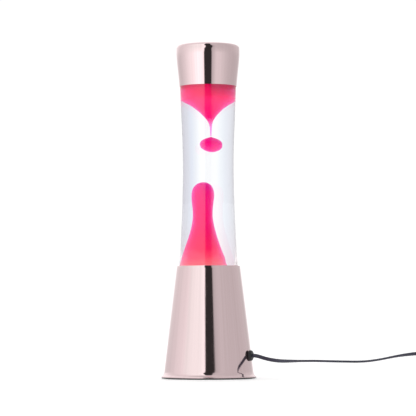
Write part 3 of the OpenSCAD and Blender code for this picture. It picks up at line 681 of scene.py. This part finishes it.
def make_base():
    """The spun cone with its concave flare and rolled foot, open below, with the hole for the bush."""
    tilt = math.radians(CONE_A)
    middle = (SKIRT_R + FLARE_R * math.cos(tilt), SKIRT_Z + FLARE_R * math.sin(tilt))
    lip_z = BASE_LOW.z / MM
    edge = SHELL_T / 2
    top = (RIM_R - edge, RIM_Z - edge)
    heights = [RIM_Z - 1 - i * (RIM_Z - SKIRT_Z - 1) / 60 for i in range(60)]
    cone = [(SKIRT_R - (z - SKIRT_Z) * CONE_SLOPE, z) for z in heights]
    outer = arc(top, edge, 90, 0, 5) + cone
    outer += arc(middle, FLARE_R, 180 + CONE_A, FLARE_END, 18)
    outer += arc((FOOT_R - LIP_H / 2, lip_z + LIP_H / 2), LIP_H / 2, 62, -90, 10)
    inner_r = FLARE_R + SHELL_T
    inner = [(middle[0] + inner_r * math.cos(math.radians(FLARE_END)) - 0.3, lip_z)]
    inner += arc(middle, inner_r, FLARE_END - 6, 180 + CONE_A, 12)
    inner += [(r - SHELL_T / math.cos(tilt), z) for r, z in reversed(cone)] + arc(top, edge, 180, 90, 4)[:-1]
    shell = lathe("spun_base", outer + inner, ROSE, 384)
    away = (math.cos(BUSH_TURN), math.sin(BUSH_TURN), 0)
    at_wall = (48 * away[0], 48 * away[1], BUSH_Z / MM)
    cut(shell, rod(at_wall, away, BUSH_HOLE_R, 20))
    return place(shell, "base", "rose_metal", "base_shell")


CAP_LOW, CAP_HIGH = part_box("metal_cap")
CAP_Z, CAP_TOP = CAP_LOW.z / MM, CAP_HIGH.z / MM
CAP_R = CAP_HIGH.x / MM
MOUTH_R = 33.95
CAP_T = 0.6
CAP_EDGE = 4.5  # radius of the edge of its top
HEM_H, HEM_IN = 2.3, 0.12  # the edge that turns in at the mouth


def cap_side(t):
    side = bezier(
        (MOUTH_R - t, CAP_Z), (MOUTH_R - t + 0.75, CAP_Z + 12.3), (CAP_R - t - 0.25, CAP_Z + 28.3),
        (CAP_R - t, CAP_Z + 37.8), 48,
    )
    return side + arc((CAP_R - CAP_EDGE, CAP_TOP - CAP_EDGE), CAP_EDGE - t, 0, 90, 20)[1:]


def make_cap():
    """The spun cap: a tapered cup, upside down, whose mouth turns in a little."""
    turn_in = [(r - HEM_IN * max(0.0, 1 - (z - CAP_Z) / HEM_H) ** 2, z) for r, z in cap_side(0)]
    top = [(CAP_R * k / 8, CAP_TOP) for k in (5, 3, 0)]
    outline = turn_in + top + [(0, CAP_TOP - CAP_T)] + cap_side(CAP_T)[::-1]
    cap = lathe("spun_cap", outline, [ROSE, ROSE_TOP], 384)
    for face in cap.data.polygons:
        on_top = face.center.z > CAP_HIGH.z - 0.1 * MM
        face.material_index = int(on_top and face.center.xy.length < (CAP_R - 4) * MM)
    return place(cap, "cap", "rose_metal", "metal_cap")


# ---------------------------------------------------------------- bottle and what it holds

GLASS_LOW, GLASS_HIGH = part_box("glass_bottle")
BOTTLE_Z, NECK_TOP = GLASS_LOW.z / MM, GLASS_HIGH.z / MM
BOTTLE_H = NECK_TOP - BOTTLE_Z
BELLY_R, WAIST_R, SHOULDER_R, NECK_R = GLASS_HIGH.x / MM, 30.0, 33.1, 13.2
GLASS_T = 3.0
HEEL_R = 6.0
HEEL_Z = BOTTLE_Z + HEEL_R
WAIST_Z = BOTTLE_Z + 0.5065 * BOTTLE_H
SHOULDER_Z = BOTTLE_Z + 0.869 * BOTTLE_H
NECK_Z = BOTTLE_Z + 0.963 * BOTTLE_H
PUNT_R, PUNT_H = 20.0, 3.5
INSIDE_Z = BOTTLE_Z + PUNT_H + 4
LIQUID_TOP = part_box("clear_liquid")[1].z / MM


def flank(t, n=40):
    """The bottle's side from the heel to the neck, moved in by a wall."""
    low = bezier(
        (BELLY_R - t, HEEL_Z), (BELLY_R - t - 2, HEEL_Z + 38), (WAIST_R - t, WAIST_Z - 45),
        (WAIST_R - t, WAIST_Z), n,
    )
    middle = bezier(
        (WAIST_R - t, WAIST_Z), (WAIST_R - t, WAIST_Z + 35), (SHOULDER_R - t - 0.7, SHOULDER_Z - 30),
        (SHOULDER_R - t, SHOULDER_Z), n,
    )
    high = bezier(
        (SHOULDER_R - t, SHOULDER_Z), (SHOULDER_R - t + 0.2, SHOULDER_Z + 14 - 0.4 * t),
        (NECK_R - t + 1, SHOULDER_Z + 13 - t), (NECK_R - t, NECK_Z - 0.5 * t), n // 2,
    )
    return low + middle[1:] + high[1:]


def hollow(gap, top):
    """Inside of the bottle, from the axis at its bottom up the wall to a height."""
    floor = [(0, INSIDE_Z + gap), (PUNT_R, INSIDE_Z + gap - 0.5)]
    corner = arc((BELLY_R - GLASS_T - 4, INSIDE_Z + 3), 4 - gap, 270, 360, 8)
    wall = [p for p in flank(GLASS_T + gap) if INSIDE_Z + 4 < p[1] < top]
    return floor + corner + wall


def make_bottle():
    bead = NECK_R + 0.5
    outside = [(0, BOTTLE_Z + PUNT_H), (PUNT_R - 1.5, BOTTLE_Z + PUNT_H - 0.5), (PUNT_R + 2.5, BOTTLE_Z)]
    outside += arc((BELLY_R - HEEL_R, HEEL_Z), HEEL_R, 270, 352, 10) + flank(0)
    outside += [
        (NECK_R, NECK_TOP - 4.2), (bead, NECK_TOP - 3.6), (bead, NECK_TOP - 0.6), (bead - 0.6, NECK_TOP),
    ]
    bore, bore_z = NECK_R - GLASS_T, NECK_Z - 2
    outline = outside + [(bore, NECK_TOP), (bore, bore_z)] + hollow(0, bore_z)[::-1]
    bottle = lathe("bottle_walls", outline, [GLASS_OUT, GLASS_IN], 384, inner_from=len(outside), sharp=50)
    return place(bottle, "bottle", "bottle_glass", "glass_bottle")


def make_liquid():
    outline = hollow(0.05, LIQUID_TOP)
    outline += [(outline[-1][0], LIQUID_TOP), (0, LIQUID_TOP)]
    return place(lathe("liquid_fill", outline, LIQUID, 192), "bottle", "liquid", "clear_liquid")


UPPER_WAX = [  # height, middle, radius: the pool under the cap, its funnel and the thread
    (356, 0, 0), (355, 0, 23), (351, 0, 25.5), (343, 0, 25.8), (335, 0, 25.4), (329, 0.2, 24.8),
    (325, 0.6, 21.9), (321, 0.9, 17.2), (316.5, 1.0, 12.6), (312, 1.3, 8.8), (307.5, 1.5, 5.7),
    (303.5, 1.8, 3.3), (299.5, 2.1, 1.75), (294, 2.35, 0.95), (286.4, 2.4, 0.6), (284, 2.4, 0.45),
    (283.4, 2.4, 0),
]
BLOB = [
    (265, 3.4, 0), (265.5, 3.4, 2.9), (267.4, 3.2, 6.6), (270.2, 2.9, 9.1), (273.6, 2.6, 9.9),
    (276.8, 2.45, 9.45), (279.3, 2.35, 7.6), (281.2, 2.3, 4.7), (282.4, 2.35, 1.8), (283.2, 2.4, 0),
]
COLUMN = [
    (120.6, 0, 0), (120.8, 0, 24), (122.5, 0, 26.4), (126, -3, 23.6), (130, -4.6, 21.6), (135, -5.0, 20.3),
    (141, -4.8, 19), (149, -5, 16.8), (159, -5, 14.1), (169, -4.9, 11.7), (179, -4.9, 9.8), (189, -5, 8.8),
    (198, -5.05, 8.95), (206, -5, 9.6), (213, -4.9, 10), (219, -4.8, 9.6), (224, -4.7, 8.1),
    (227.3, -4.5, 5.6), (229, -4.4, 2.8), (229.5, -4.4, 0),
]


def make_wax():
    place(stack("wax_pool_and_thread", UPPER_WAX, WAX_POOL), "bottle", "wax", "wax_upper")
    place(stack("wax_column", COLUMN, WAX_MASS), "bottle", "wax", "wax_lower")
    place(stack("wax_blob", BLOB, WAX_SMALL), "drop", "wax", "wax_drop")


# ---------------------------------------------------------------- bush

def make_bush():
    """The moulded bush: a rounded collar outside the wall and a tapered tail inside."""
    bore = (WIDE / 2 - 0.1 * MM) / MM
    neck = BUSH_HOLE_R - 0.1
    wall, flange, face = BUSH_WALL, BUSH_WALL - 3, BUSH_FACE / MM
    outline = [
        (bore, 34), (bore + 1, 34), (neck, flange), (6.0, flange + 0.1), (6.0, flange + 1.9),
        (neck, flange + 2), (neck, wall + 0.4), (6.1, wall + 0.4),
    ]
    outline += arc((5.0, wall + 1.4), 1.4, -20, 50, 6) + arc((4.2, face - 2.0), 2.0, 25, 90, 6)
    outline += [(3.2, face), (bore + 0.5, face - 0.2), (bore, face - 0.6)]
    bush = lathe("lead_bush", outline, BUSH, 72)
    turn = Matrix.Rotation(BUSH_TURN, 4, "Z") @ Matrix.Rotation(math.pi / 2, 4, "Y")
    bush.data.transform(Matrix.Translation((0, 0, BUSH_Z)) @ turn)
    return place(bush, "base", "bush_plastic", "cord_bush")


# ---------------------------------------------------------------- coil tie, switch and plug

def round_corners(points, radius, steps=5):
    """A closed outline with its corners rounded."""
    rounded = []
    count = len(points)
    for i, p in enumerate(points):
        p = Vector(p)
        before = Vector(points[i - 1]) - p
        after = Vector(points[(i + 1) % count]) - p
        r = min(radius, before.length * 0.45, after.length * 0.45)
        a, c = p + before.normalized() * r, p + after.normalized() * r
        for k in range(steps + 1):
            t = k / steps
            rounded.append(tuple((1 - t) ** 2 * a + 2 * t * (1 - t) * p + t * t * c))
    return rounded


def make_tie():
    """A soft strap round the whole bundle."""
    low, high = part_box("coil_tie")
    in_r, out_r, top = 20.3, (high.y - COIL_MIDDLE.y) / MM, high.z / MM
    step_r, step_z = out_r - 5.7, 17.0  # the coil is lower inside this radius
    thick, rim, pinch = 0.6, 0.0006, 0.00012
    outer = round_corners([(in_r, 0), (out_r, 0), (out_r, step_z), (step_r, top), (in_r, top)], 1.6)
    inner = round_corners([
        (in_r + thick, 0.58), (out_r - thick, 0.58), (out_r - thick, step_z - 0.3),
        (step_r - 0.5, top - thick), (in_r + thick, top - thick),
    ], 1.1)
    bm = bmesh.new()

    def loop(x, outline, moved=0.0):
        return [bm.verts.new((x, COIL_MIDDLE.y + r * MM - moved, max(z * MM, 0.0))) for r, z in outline]

    rows = [loop(low.x, outer, pinch), loop(low.x + rim, outer), loop(high.x - rim, outer)]
    rows.append(loop(high.x, outer, pinch))
    holes = [loop(x, inner) for x in (low.x, high.x)]
    for pair in (rows, holes, [rows[0], holes[0]], [rows[-1], holes[1]]):
        grid_faces(bm, pair)
    return place(finish_mesh("strap_tie", bm, STRAP, 50), "base", "tie_strap", "coil_tie")


SWITCH_MIDDLE = (330.0, 17.0)
SWITCH_W, SWITCH_L, SWITCH_H, SPLIT_Z = 26.0, 56.0, 17.0, 8.5
ROCKER_W, ROCKER_R, ROCKER_GAP = 11.0, 9.0, 0.25
PIVOT_Z = 12.5
ROCKER_REST = math.radians(-8)


def switch_outline():
    """The housing seen from above: round ends with a short flat where the lead enters."""
    w, half = SWITCH_W / 2, SWITCH_L / 2
    flat, side = SWITCH_W / 2 - 4, half - 9
    corners = [(-w, -side), (-flat, -half), (flat, -half), (w, -side)]
    corners += [(-a, -b) for a, b in corners]
    points = round_corners(corners, 6.0, 6)
    return [(x + SWITCH_MIDDLE[0], y + SWITCH_MIDDLE[1]) for x, y in points]


def block(low, high):
    """A plain box for cutting, in mm."""
    bm = bmesh.new()
    size = [b - a for a, b in zip(low, high)]
    bmesh.ops.create_cube(bm, size=1)
    bm.transform(Matrix.Diagonal((*(c * MM for c in size), 1)))
    bm.transform(Matrix.Translation([(a + b) / 2 * MM for a, b in zip(low, high)]))
    return finish_mesh("tool", bm, [])


def make_switch():
    x, y = SWITCH_MIDDLE
    entry = WIDE / MM / 2 + 0.1
    seam = 0.15  # half the gap between the two shells
    lower = slab("switch_shell_low", switch_outline(), 0.0, SPLIT_Z - seam, SWITCH, 0.25, 1.6)
    upper = slab("switch_shell_high", switch_outline(), SPLIT_Z + seam, SWITCH_H, SWITCH, 2.4, 0.25, 6)
    for half in (lower, upper):
        cut(half, rod((x, y, SPLIT_Z), (0, 1, 0), entry, SWITCH_L + 10))
        for side in (-1, 1):
            cut(half, rod((x, y + side * (SWITCH_L / 2 + 0.4), SPLIT_Z), (0, 1, 0), entry + 1.0, 2.0))

    def well(half, wider, low, high):
        across, along = ROCKER_W / 2 + ROCKER_GAP + wider, ROCKER_R + ROCKER_GAP + wider
        cut(half, block((x - across, y - along, low), (x + across, y + along, high)))

    well(lower, 0, 3.0, SWITCH_H + 1)
    well(upper, 0, 3.0, SWITCH_H + 1)
    well(upper, 1.2, SWITCH_H - 0.5, 20)
    for side in (-1, 1):
        cut(lower, rod((x, y + side * (SWITCH_L - 14) / 2, 0.0), (0, 0, 1), 2.6, 3.2))
        for k in range(5):
            rib_y = y + side * (SWITCH_L / 2 - 5.5 - 1.9 * k)
            cut(upper, rod((x, rib_y, SWITCH_H + 0.25), (1, 0, 0), 0.5, 14 - 1.2 * abs(k - 3)))
    place(even_shading(lower), "base", "switch_plastic", "switch_base")
    place(even_shading(upper), "base", "switch_plastic", "switch_cover")
    side = arc((0, 0), ROCKER_R, -6, 37, 10)
    dip = [(a * ROCKER_R, h) for a, h in ((0.62, 4.72), (0.3, 4.2), (0, 4.0), (-0.3, 4.2), (-0.62, 4.72))]
    outline = side + dip + [(-a, b) for a, b in reversed(side)]
    key = slab("switch_key", outline, -ROCKER_W / 2, ROCKER_W / 2, ROCKER, 0.55, 0.55, 3)
    for end in (-1, 1):
        for k in range(3):
            at = Vector((end * (5.6 + 0.9 * k), 4.75 + 0.28 * k, 0))
            cut(key, rod(at, (0, 0, 1), 0.22, 7))
    turn = Matrix(((0, 0, 1, 0), (1, 0, 0, 0), (0, 1, 0, 0), (0, 0, 0, 1)))
    seat = Matrix.Translation((x * MM, y * MM, PIVOT_Z * MM)) @ Matrix.Rotation(ROCKER_REST, 4, "X")
    key.data.transform(seat @ turn)
    place(even_shading(key), "rocker", "rocker_plastic", "switch_rocker")


PLUG_FACE = (371.0, -2.0)
PLUG_W, PLUG_T, PLUG_L, RELIEF_L = 35.3, 13.7, 33.0, 13.0
PIN_PITCH, PIN_R, PIN_L = 18.6, 2.0, 19.0
RELIEF_R, RELIEF_RINGS = 5.0, 6


def make_plug():
    """A flat two-pin plug with a waisted grip, and a ribbed tapered relief on its lead."""
    x, y = PLUG_FACE
    half = PLUG_W / 2
    right = [(half, 0), (half, 6.5), (12.4, 20.5), (8.2, 27.5), (5.6, PLUG_L)]
    corners = [(x + a, y + b) for a, b in right] + [(x - a, y + b) for a, b in reversed(right)]
    body = slab("plug_grip", round_corners(corners, 4.5, 7), 0.0, PLUG_T, PLUG, 2.4, 2.4, 6)
    for side in (-1, 1):
        for k in range(5):
            at = Vector((x + side * (14.9 - 1.25 * k), y + 11.0 + 2.1 * k, PLUG_T / 2))
            cut(body, rod(at, (0, 0, 1), 0.55, PLUG_T + 2, 16))
    even_shading(body)
    half_lead = WIDE / MM / 2
    rings = [(RELIEF_R - 0.9, -2.0)]
    for k in range(RELIEF_RINGS):
        at = 0.3 + k * (RELIEF_L - 0.6) / RELIEF_RINGS
        r = RELIEF_R - (RELIEF_R - half_lead - 1.0) * at / RELIEF_L
        rings += [(r, at), (r, at + 1.2), (r - 0.7, at + 1.4), (r - 0.7, at + 1.95)]
    bore = half_lead - 0.05
    rings += [(bore + 0.6, RELIEF_L - 0.1), (bore, RELIEF_L), (bore, -2.0)]
    relief = lathe("plug_relief", rings, PLUG, 48, sharp=40)
    seat = Matrix.Translation(Vector((x, y + PLUG_L, PLUG_T / 2)) * MM)
    relief.data.transform(seat @ Matrix.Rotation(-math.pi / 2, 4, "X"))
    collars, pins = [], []
    for side in (-1, 1):
        seat = Matrix.Translation(Vector((x + side * PIN_PITCH / 2, y, PLUG_T / 2)) * MM)
        seat = seat @ Matrix.Rotation(math.pi / 2, 4, "X")
        sleeve_r = PIN_R - 0.05
        outline = [(0, -1), (sleeve_r, -1), (sleeve_r, 9.8), (sleeve_r - 0.2, 10.0), (0, 10.0)]
        sleeve = lathe("sleeve", outline, PLUG, 40)
        tip = [(0, 9.0), (PIN_R - 0.1, 9.0), (PIN_R, 10.2), (PIN_R, PIN_L - 1.6)]
        tip += arc((PIN_R - 1.6, PIN_L - 1.6), 1.6, 10, 80, 6) + [(0, PIN_L)]
        pin = lathe("pin", tip, NICKEL, 40)
        for o in (sleeve, pin):
            o.data.transform(seat)
        collars.append(sleeve)
        pins.append(pin)
    place(join("plug_shell", [body, relief] + collars), "base", "plug_pvc", "plug_body")
    place(join("pin_pair", pins), "base", "pin_nickel", "plug_pins")


# ---------------------------------------------------------------- closure, bulb and wire coil

def make_closure():
    """The pressed crown: a flat lid whose skirt is crimped into flutes."""
    low, top = (corner.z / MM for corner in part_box("crown_closure"))
    flutes = 21
    inner = NECK_R + 0.55
    outline = [(0, top), (inner - 1.6, top), (inner - 0.3, top - 0.35), (inner + 0.55, top - 1.2)]
    outline += [(inner + 0.6, top - 1.2 - k * (top - low - 1.6) / 8) for k in range(1, 9)]
    outline += [(inner + 0.9, low + 0.05), (inner + 0.6, low + 0.1), (inner + 0.05, low + 0.8)]
    outline += [(inner, top - 1.0), (inner - 0.8, top - 0.62), (0, top - 0.6)]

    def crimp(a, r, z):
        depth = min(1.0, max(0.0, (top * MM - 0.0012 - z) / 0.003))
        return 0.00045 * depth * (1 + math.cos(flutes * a)) if r > (inner + 0.3) * MM else 0.0

    closure = lathe("crimped_crown", outline, TIN, 336, wobble=crimp, sharp=50)
    return place(closure, "bottle", "tin_plate", "crown_closure")


BULB_R, BULB_H, BULB_T, BULB_NECK_R, FACE_H = 19.5, 66.0, 0.8, 6.3, 9.5
SCREW_R, THREAD = 6.9, 2.822


def make_bulb():
    """The screw cap with its rolled thread, and the envelope: mirrored sides and a frosted face."""
    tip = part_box("bulb_contact")[0].z / MM
    low, high = tip + 3.5, tip + 19.5
    steps = 90
    outer = [(SCREW_R - 0.28, low + (high - low) * k / steps) for k in range(steps + 1)]
    inner = [(SCREW_R - 0.75, high), (SCREW_R - 0.75, low)]

    def rolled(a, r, z):
        if r < (SCREW_R - 0.5) * MM:
            return 0.0
        share = min(1.0, (z - low * MM) / 0.0015, (high * MM - z) / 0.003)
        return 0.00027 * max(0.0, share) * math.cos(TURN * z / (THREAD * MM) - a)

    cap = lathe("rolled_cap", outer + inner, SHELL, 96, wobble=rolled, sharp=80)
    place(cap, "bulb", "bulb_shell", "bulb_cap")

    top = tip + BULB_H

    def side(t):
        neck, wide, crown = BULB_NECK_R - t, BULB_R - t, top - t
        shoulder = (wide, top - FACE_H)
        cone = bezier((neck, tip + 20), (7.5 - t, tip + 32), (wide - 0.5, tip + 40), shoulder, 24)
        face = bezier((wide, top - FACE_H + 1), (wide - 1.5, crown - 2), (10, crown), (0, crown), 16)
        return [(neck, tip + 6)] + cone + face

    outline = side(0) + side(BULB_T)[::-1] + [(0, tip + 6 + BULB_T), (0, tip + 6)]
    envelope = lathe("bulb_envelope", outline, [MIRROR, FROST], 128, sharp=50)
    for face in envelope.data.polygons:
        face.material_index = int(face.center.z > (top - FACE_H - 0.1) * MM)
    place(envelope, "bulb", "bulb_envelope", "bulb_glass")


def make_wire_coil():
    """The close-wound steel coil that lies round the bottle's bottom."""
    low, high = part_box("wire_coil")
    middle_z = (low.z + high.z) / 2
    minor = (high.z - low.z) / 2
    major = high.x - minor
    wire = 0.0005
    turns, around = 96, 14
    steps = turns * around
    rows = []
    bm = bmesh.new()

    def at(i):
        a, b = TURN * i / steps, TURN * i / around
        r = major + (minor - wire) * math.cos(b)
        return Vector((r * math.cos(a), r * math.sin(a), middle_z + (minor - wire) * math.sin(b)))

    for i in range(steps):
        along = (at(i + 1) - at(i - 1)).normalized()
        side = along.cross(Vector((0, 0, 1))).normalized()
        up = side.cross(along)
        round_it = [wire * (side * math.cos(a) + up * math.sin(a)) for a in [TURN * k / 6 for k in range(6)]]
        rows.append([bm.verts.new(at(i) + v) for v in round_it])
    grid_faces(bm, rows, closed_rows=True)
    return place(finish_mesh("wound_coil", bm, STEEL, 80), "bottle", "bare_steel", "wire_coil")


MIRROR = plated("bulb_mirror", (0.86, 0.86, 0.84), 0.06, (1, 1, 1), 0.000002)
FROST = material("bulb_frost", (0.95, 0.95, 0.93), 0.42, 0, {"Transmission Weight": 0.85, "IOR": 1.45})
bump(FROST, noise(FROST, 3000, 2), 0.3, 0.00002)

make_base()
make_cap()
make_bottle()
make_liquid()
make_wax()
make_bush()
make_tie()
make_switch()
make_plug()
make_closure()
make_bulb()
make_wire_coil()

KEPT = {
    "base_plate": BLACK, "foot_ring": RUBBER, "bottle_seat": STEEL, "seat_gasket": GASKET,
    "holder_bracket": ZINC, "bracket_screws": ZINC, "lamp_holder": HOLDER, "holder_sleeve": BRASS,
    "holder_tongue": BRASS, "holder_nipple": ZINC, "nipple_nut": ZINC, "terminal_screws": BRASS,
    "wire_live": BROWN, "wire_neutral": BLUE, "switch_contacts": BRASS, "switch_screws": ZINC,
    "crown_seal": LINER, "cap_pad": FOAM, "bulb_contact": SOLDER, "bulb_insulator": VITRITE,
    "bulb_filament": STEEL,
}
for node, finish in KEPT.items():
    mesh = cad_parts[node].data
    mesh.materials.clear()
    mesh.materials.append(finish)


# ---------------------------------------------------------------- studio

# Direction in degrees, 0 towards the camera and + to the right, and the brightness or colour there
LOW_STUDIO = [  # level rays
    (-180, 1.2), (-168, 1.1), (-150, 0.76), (-138, 0.7), (-122, 0.71), (-108, 0.8), (-96, 0.865),
    (-86, 0.97), (-76, 1.045), (-66, 1.125), (-57, 1.195), (-48, 1.31), (-35, 1.39), (-22, 1.35),
    (-15.2, 1.2), (-13.8, 0.036), (12.6, 0.036), (14.4, 0.55), (20, 0.66), (28, 0.79), (36, 0.86),
    (46, 0.825), (60, 0.745), (70, 0.69), (85, 0.63), (110, 0.58), (126, 0.6), (144, 0.615), (158, 0.85),
    (168, 1.1), (180, 1.2),
]
HIGH_STUDIO = [  # rays that climb as those off the base do
    (-180, 1.2), (-168, 1.15), (-150, 1.12), (-138, 0.97), (-122, 0.87), (-108, 0.845), (-96, 0.905),
    (-86, 0.935), (-76, 0.977), (-66, (1.008, 1.066, 1.044)), (-57, (1.06, 1.121, 1.099)),
    (-48, (1.089, 1.151, 1.129)), (-35, (1.103, 1.167, 1.143)), (-28, (1.074, 1.136, 1.114)),
    (-20, (1.208, 1.278, 1.252)), (-13.5, 1.3), (-12.3, 0.033), (11.9, 0.033), (13.3, 0.5), (20, 0.61),
    (30, 0.66), (46, 0.632), (60, 0.632), (72, 0.62), (90, 0.615), (108, 0.64), (126, 0.715), (144, 0.7),
    (158, 0.9), (168, 1.05), (180, 1.2),
]
THROUGH_STUDIO = [  # rays bent by the bottle: the white behind it and the greyer sides
    (-180, (1.07, 1.07, 1.07)), (-171, (1.05, 1.06, 1.07)), (-165, (0.95, 0.985, 1.02)),
    (-158, (0.885, 0.91, 0.965)), (-149, (0.85, 0.86, 0.915)), (-127, (0.75, 0.745, 0.79)),
    (-90, (0.66, 0.65, 0.69)), (90, (0.64, 0.62, 0.68)), (128, (0.685, 0.665, 0.74)),
    (150, (0.745, 0.75, 0.815)), (159, (0.80, 0.835, 0.925)), (166, (0.905, 0.93, 0.97)),
    (171, (1.03, 1.04, 1.05)), (180, (1.07, 1.07, 1.07)),
]
# The climbs below are the z of a ray's direction.
DRIFT = 0.226  # how far the dark gap leans, in turns, as a ray climbs by 1
LEVEL = 0.267  # the climb at which it stands upright
LEAN_BELOW, LEAN_ABOVE = 0.06, 0.02  # it leans more with the climb this far under and over LEVEL
LEAN_BACK = 0.045  # and comes back upright over this much below that
CLIMB = (0.03, 0.19)  # from the low studio to the high one
CEILING = (0.88, 0.99)  # from the walls to the overhead
OVERHEAD = 0.7
BACKDROP = 1.05


def walls(world, share, table):
    """The brightness round the room: a plain level, or a colour, at each direction of a table."""
    table = [((at + 180) / 360, level if isinstance(level, tuple) else (level,) * 3) for at, level in table]
    return ramp(world, share, table)


def make_world():
    """Plain soft walls round the lamp: brighter on the left, with a dark gap where the camera stands."""
    world = bpy.data.worlds.new("studio")
    scene.world = world
    world.use_nodes = True
    world.node_tree.nodes.clear()
    ray = split(world, add(world, "ShaderNodeTexCoord").outputs["Generated"])
    climb = ray["Z"]
    around = calc(world, "ARCTAN2", ray["X"], calc(world, "MULTIPLY", ray["Y"], -1.0))
    share = ranged(world, around, 0, 1, -math.pi, math.pi)
    low, high = LEVEL - LEAN_BELOW, LEVEL + LEAN_ABOVE
    lean = ranged(world, climb, -DRIFT * LEAN_BELOW, DRIFT * LEAN_ABOVE, low, high)
    back = ranged(world, climb, DRIFT * LEAN_BELOW, 0, low - LEAN_BACK, low)
    leaning = calc(world, "ADD", share, calc(world, "ADD", lean, back))
    room = mixed_color(
        world, ranged(world, climb, 0, 1, *CLIMB), walls(world, share, LOW_STUDIO),
        walls(world, leaning, HIGH_STUDIO),
    )
    room = mixed_color(world, ranged(world, climb, 0, 1, *CEILING), room, (OVERHEAD,) * 3)
    path = add(world, "ShaderNodeLightPath").outputs
    room = mixed_color(world, path["Is Transmission Ray"], room, walls(world, share, THROUGH_STUDIO))
    seen = add(world, "ShaderNodeBackground", {"Color": room}).outputs["Background"]
    white = {"Color": (1, 1, 1, 1), "Strength": BACKDROP}
    white = add(world, "ShaderNodeBackground", white).outputs["Background"]
    show_mix(world, path["Is Camera Ray"], seen, white, add(world, "ShaderNodeOutputWorld"))


def make_floor():
    glow = {"Emission Color": (1, 1, 1, 1), "Emission Strength": 0.34}
    m = material("floor", (0.9, 0.9, 0.9), 0.7, 0, glow)
    bm = bmesh.new()
    bmesh.ops.create_circle(bm, cap_ends=True, segments=96, radius=4.0)
    floor = finish_mesh("floor", bm, m)
    floor.location.z = -0.0002
    floor.visible_glossy = False


make_world()
make_floor()
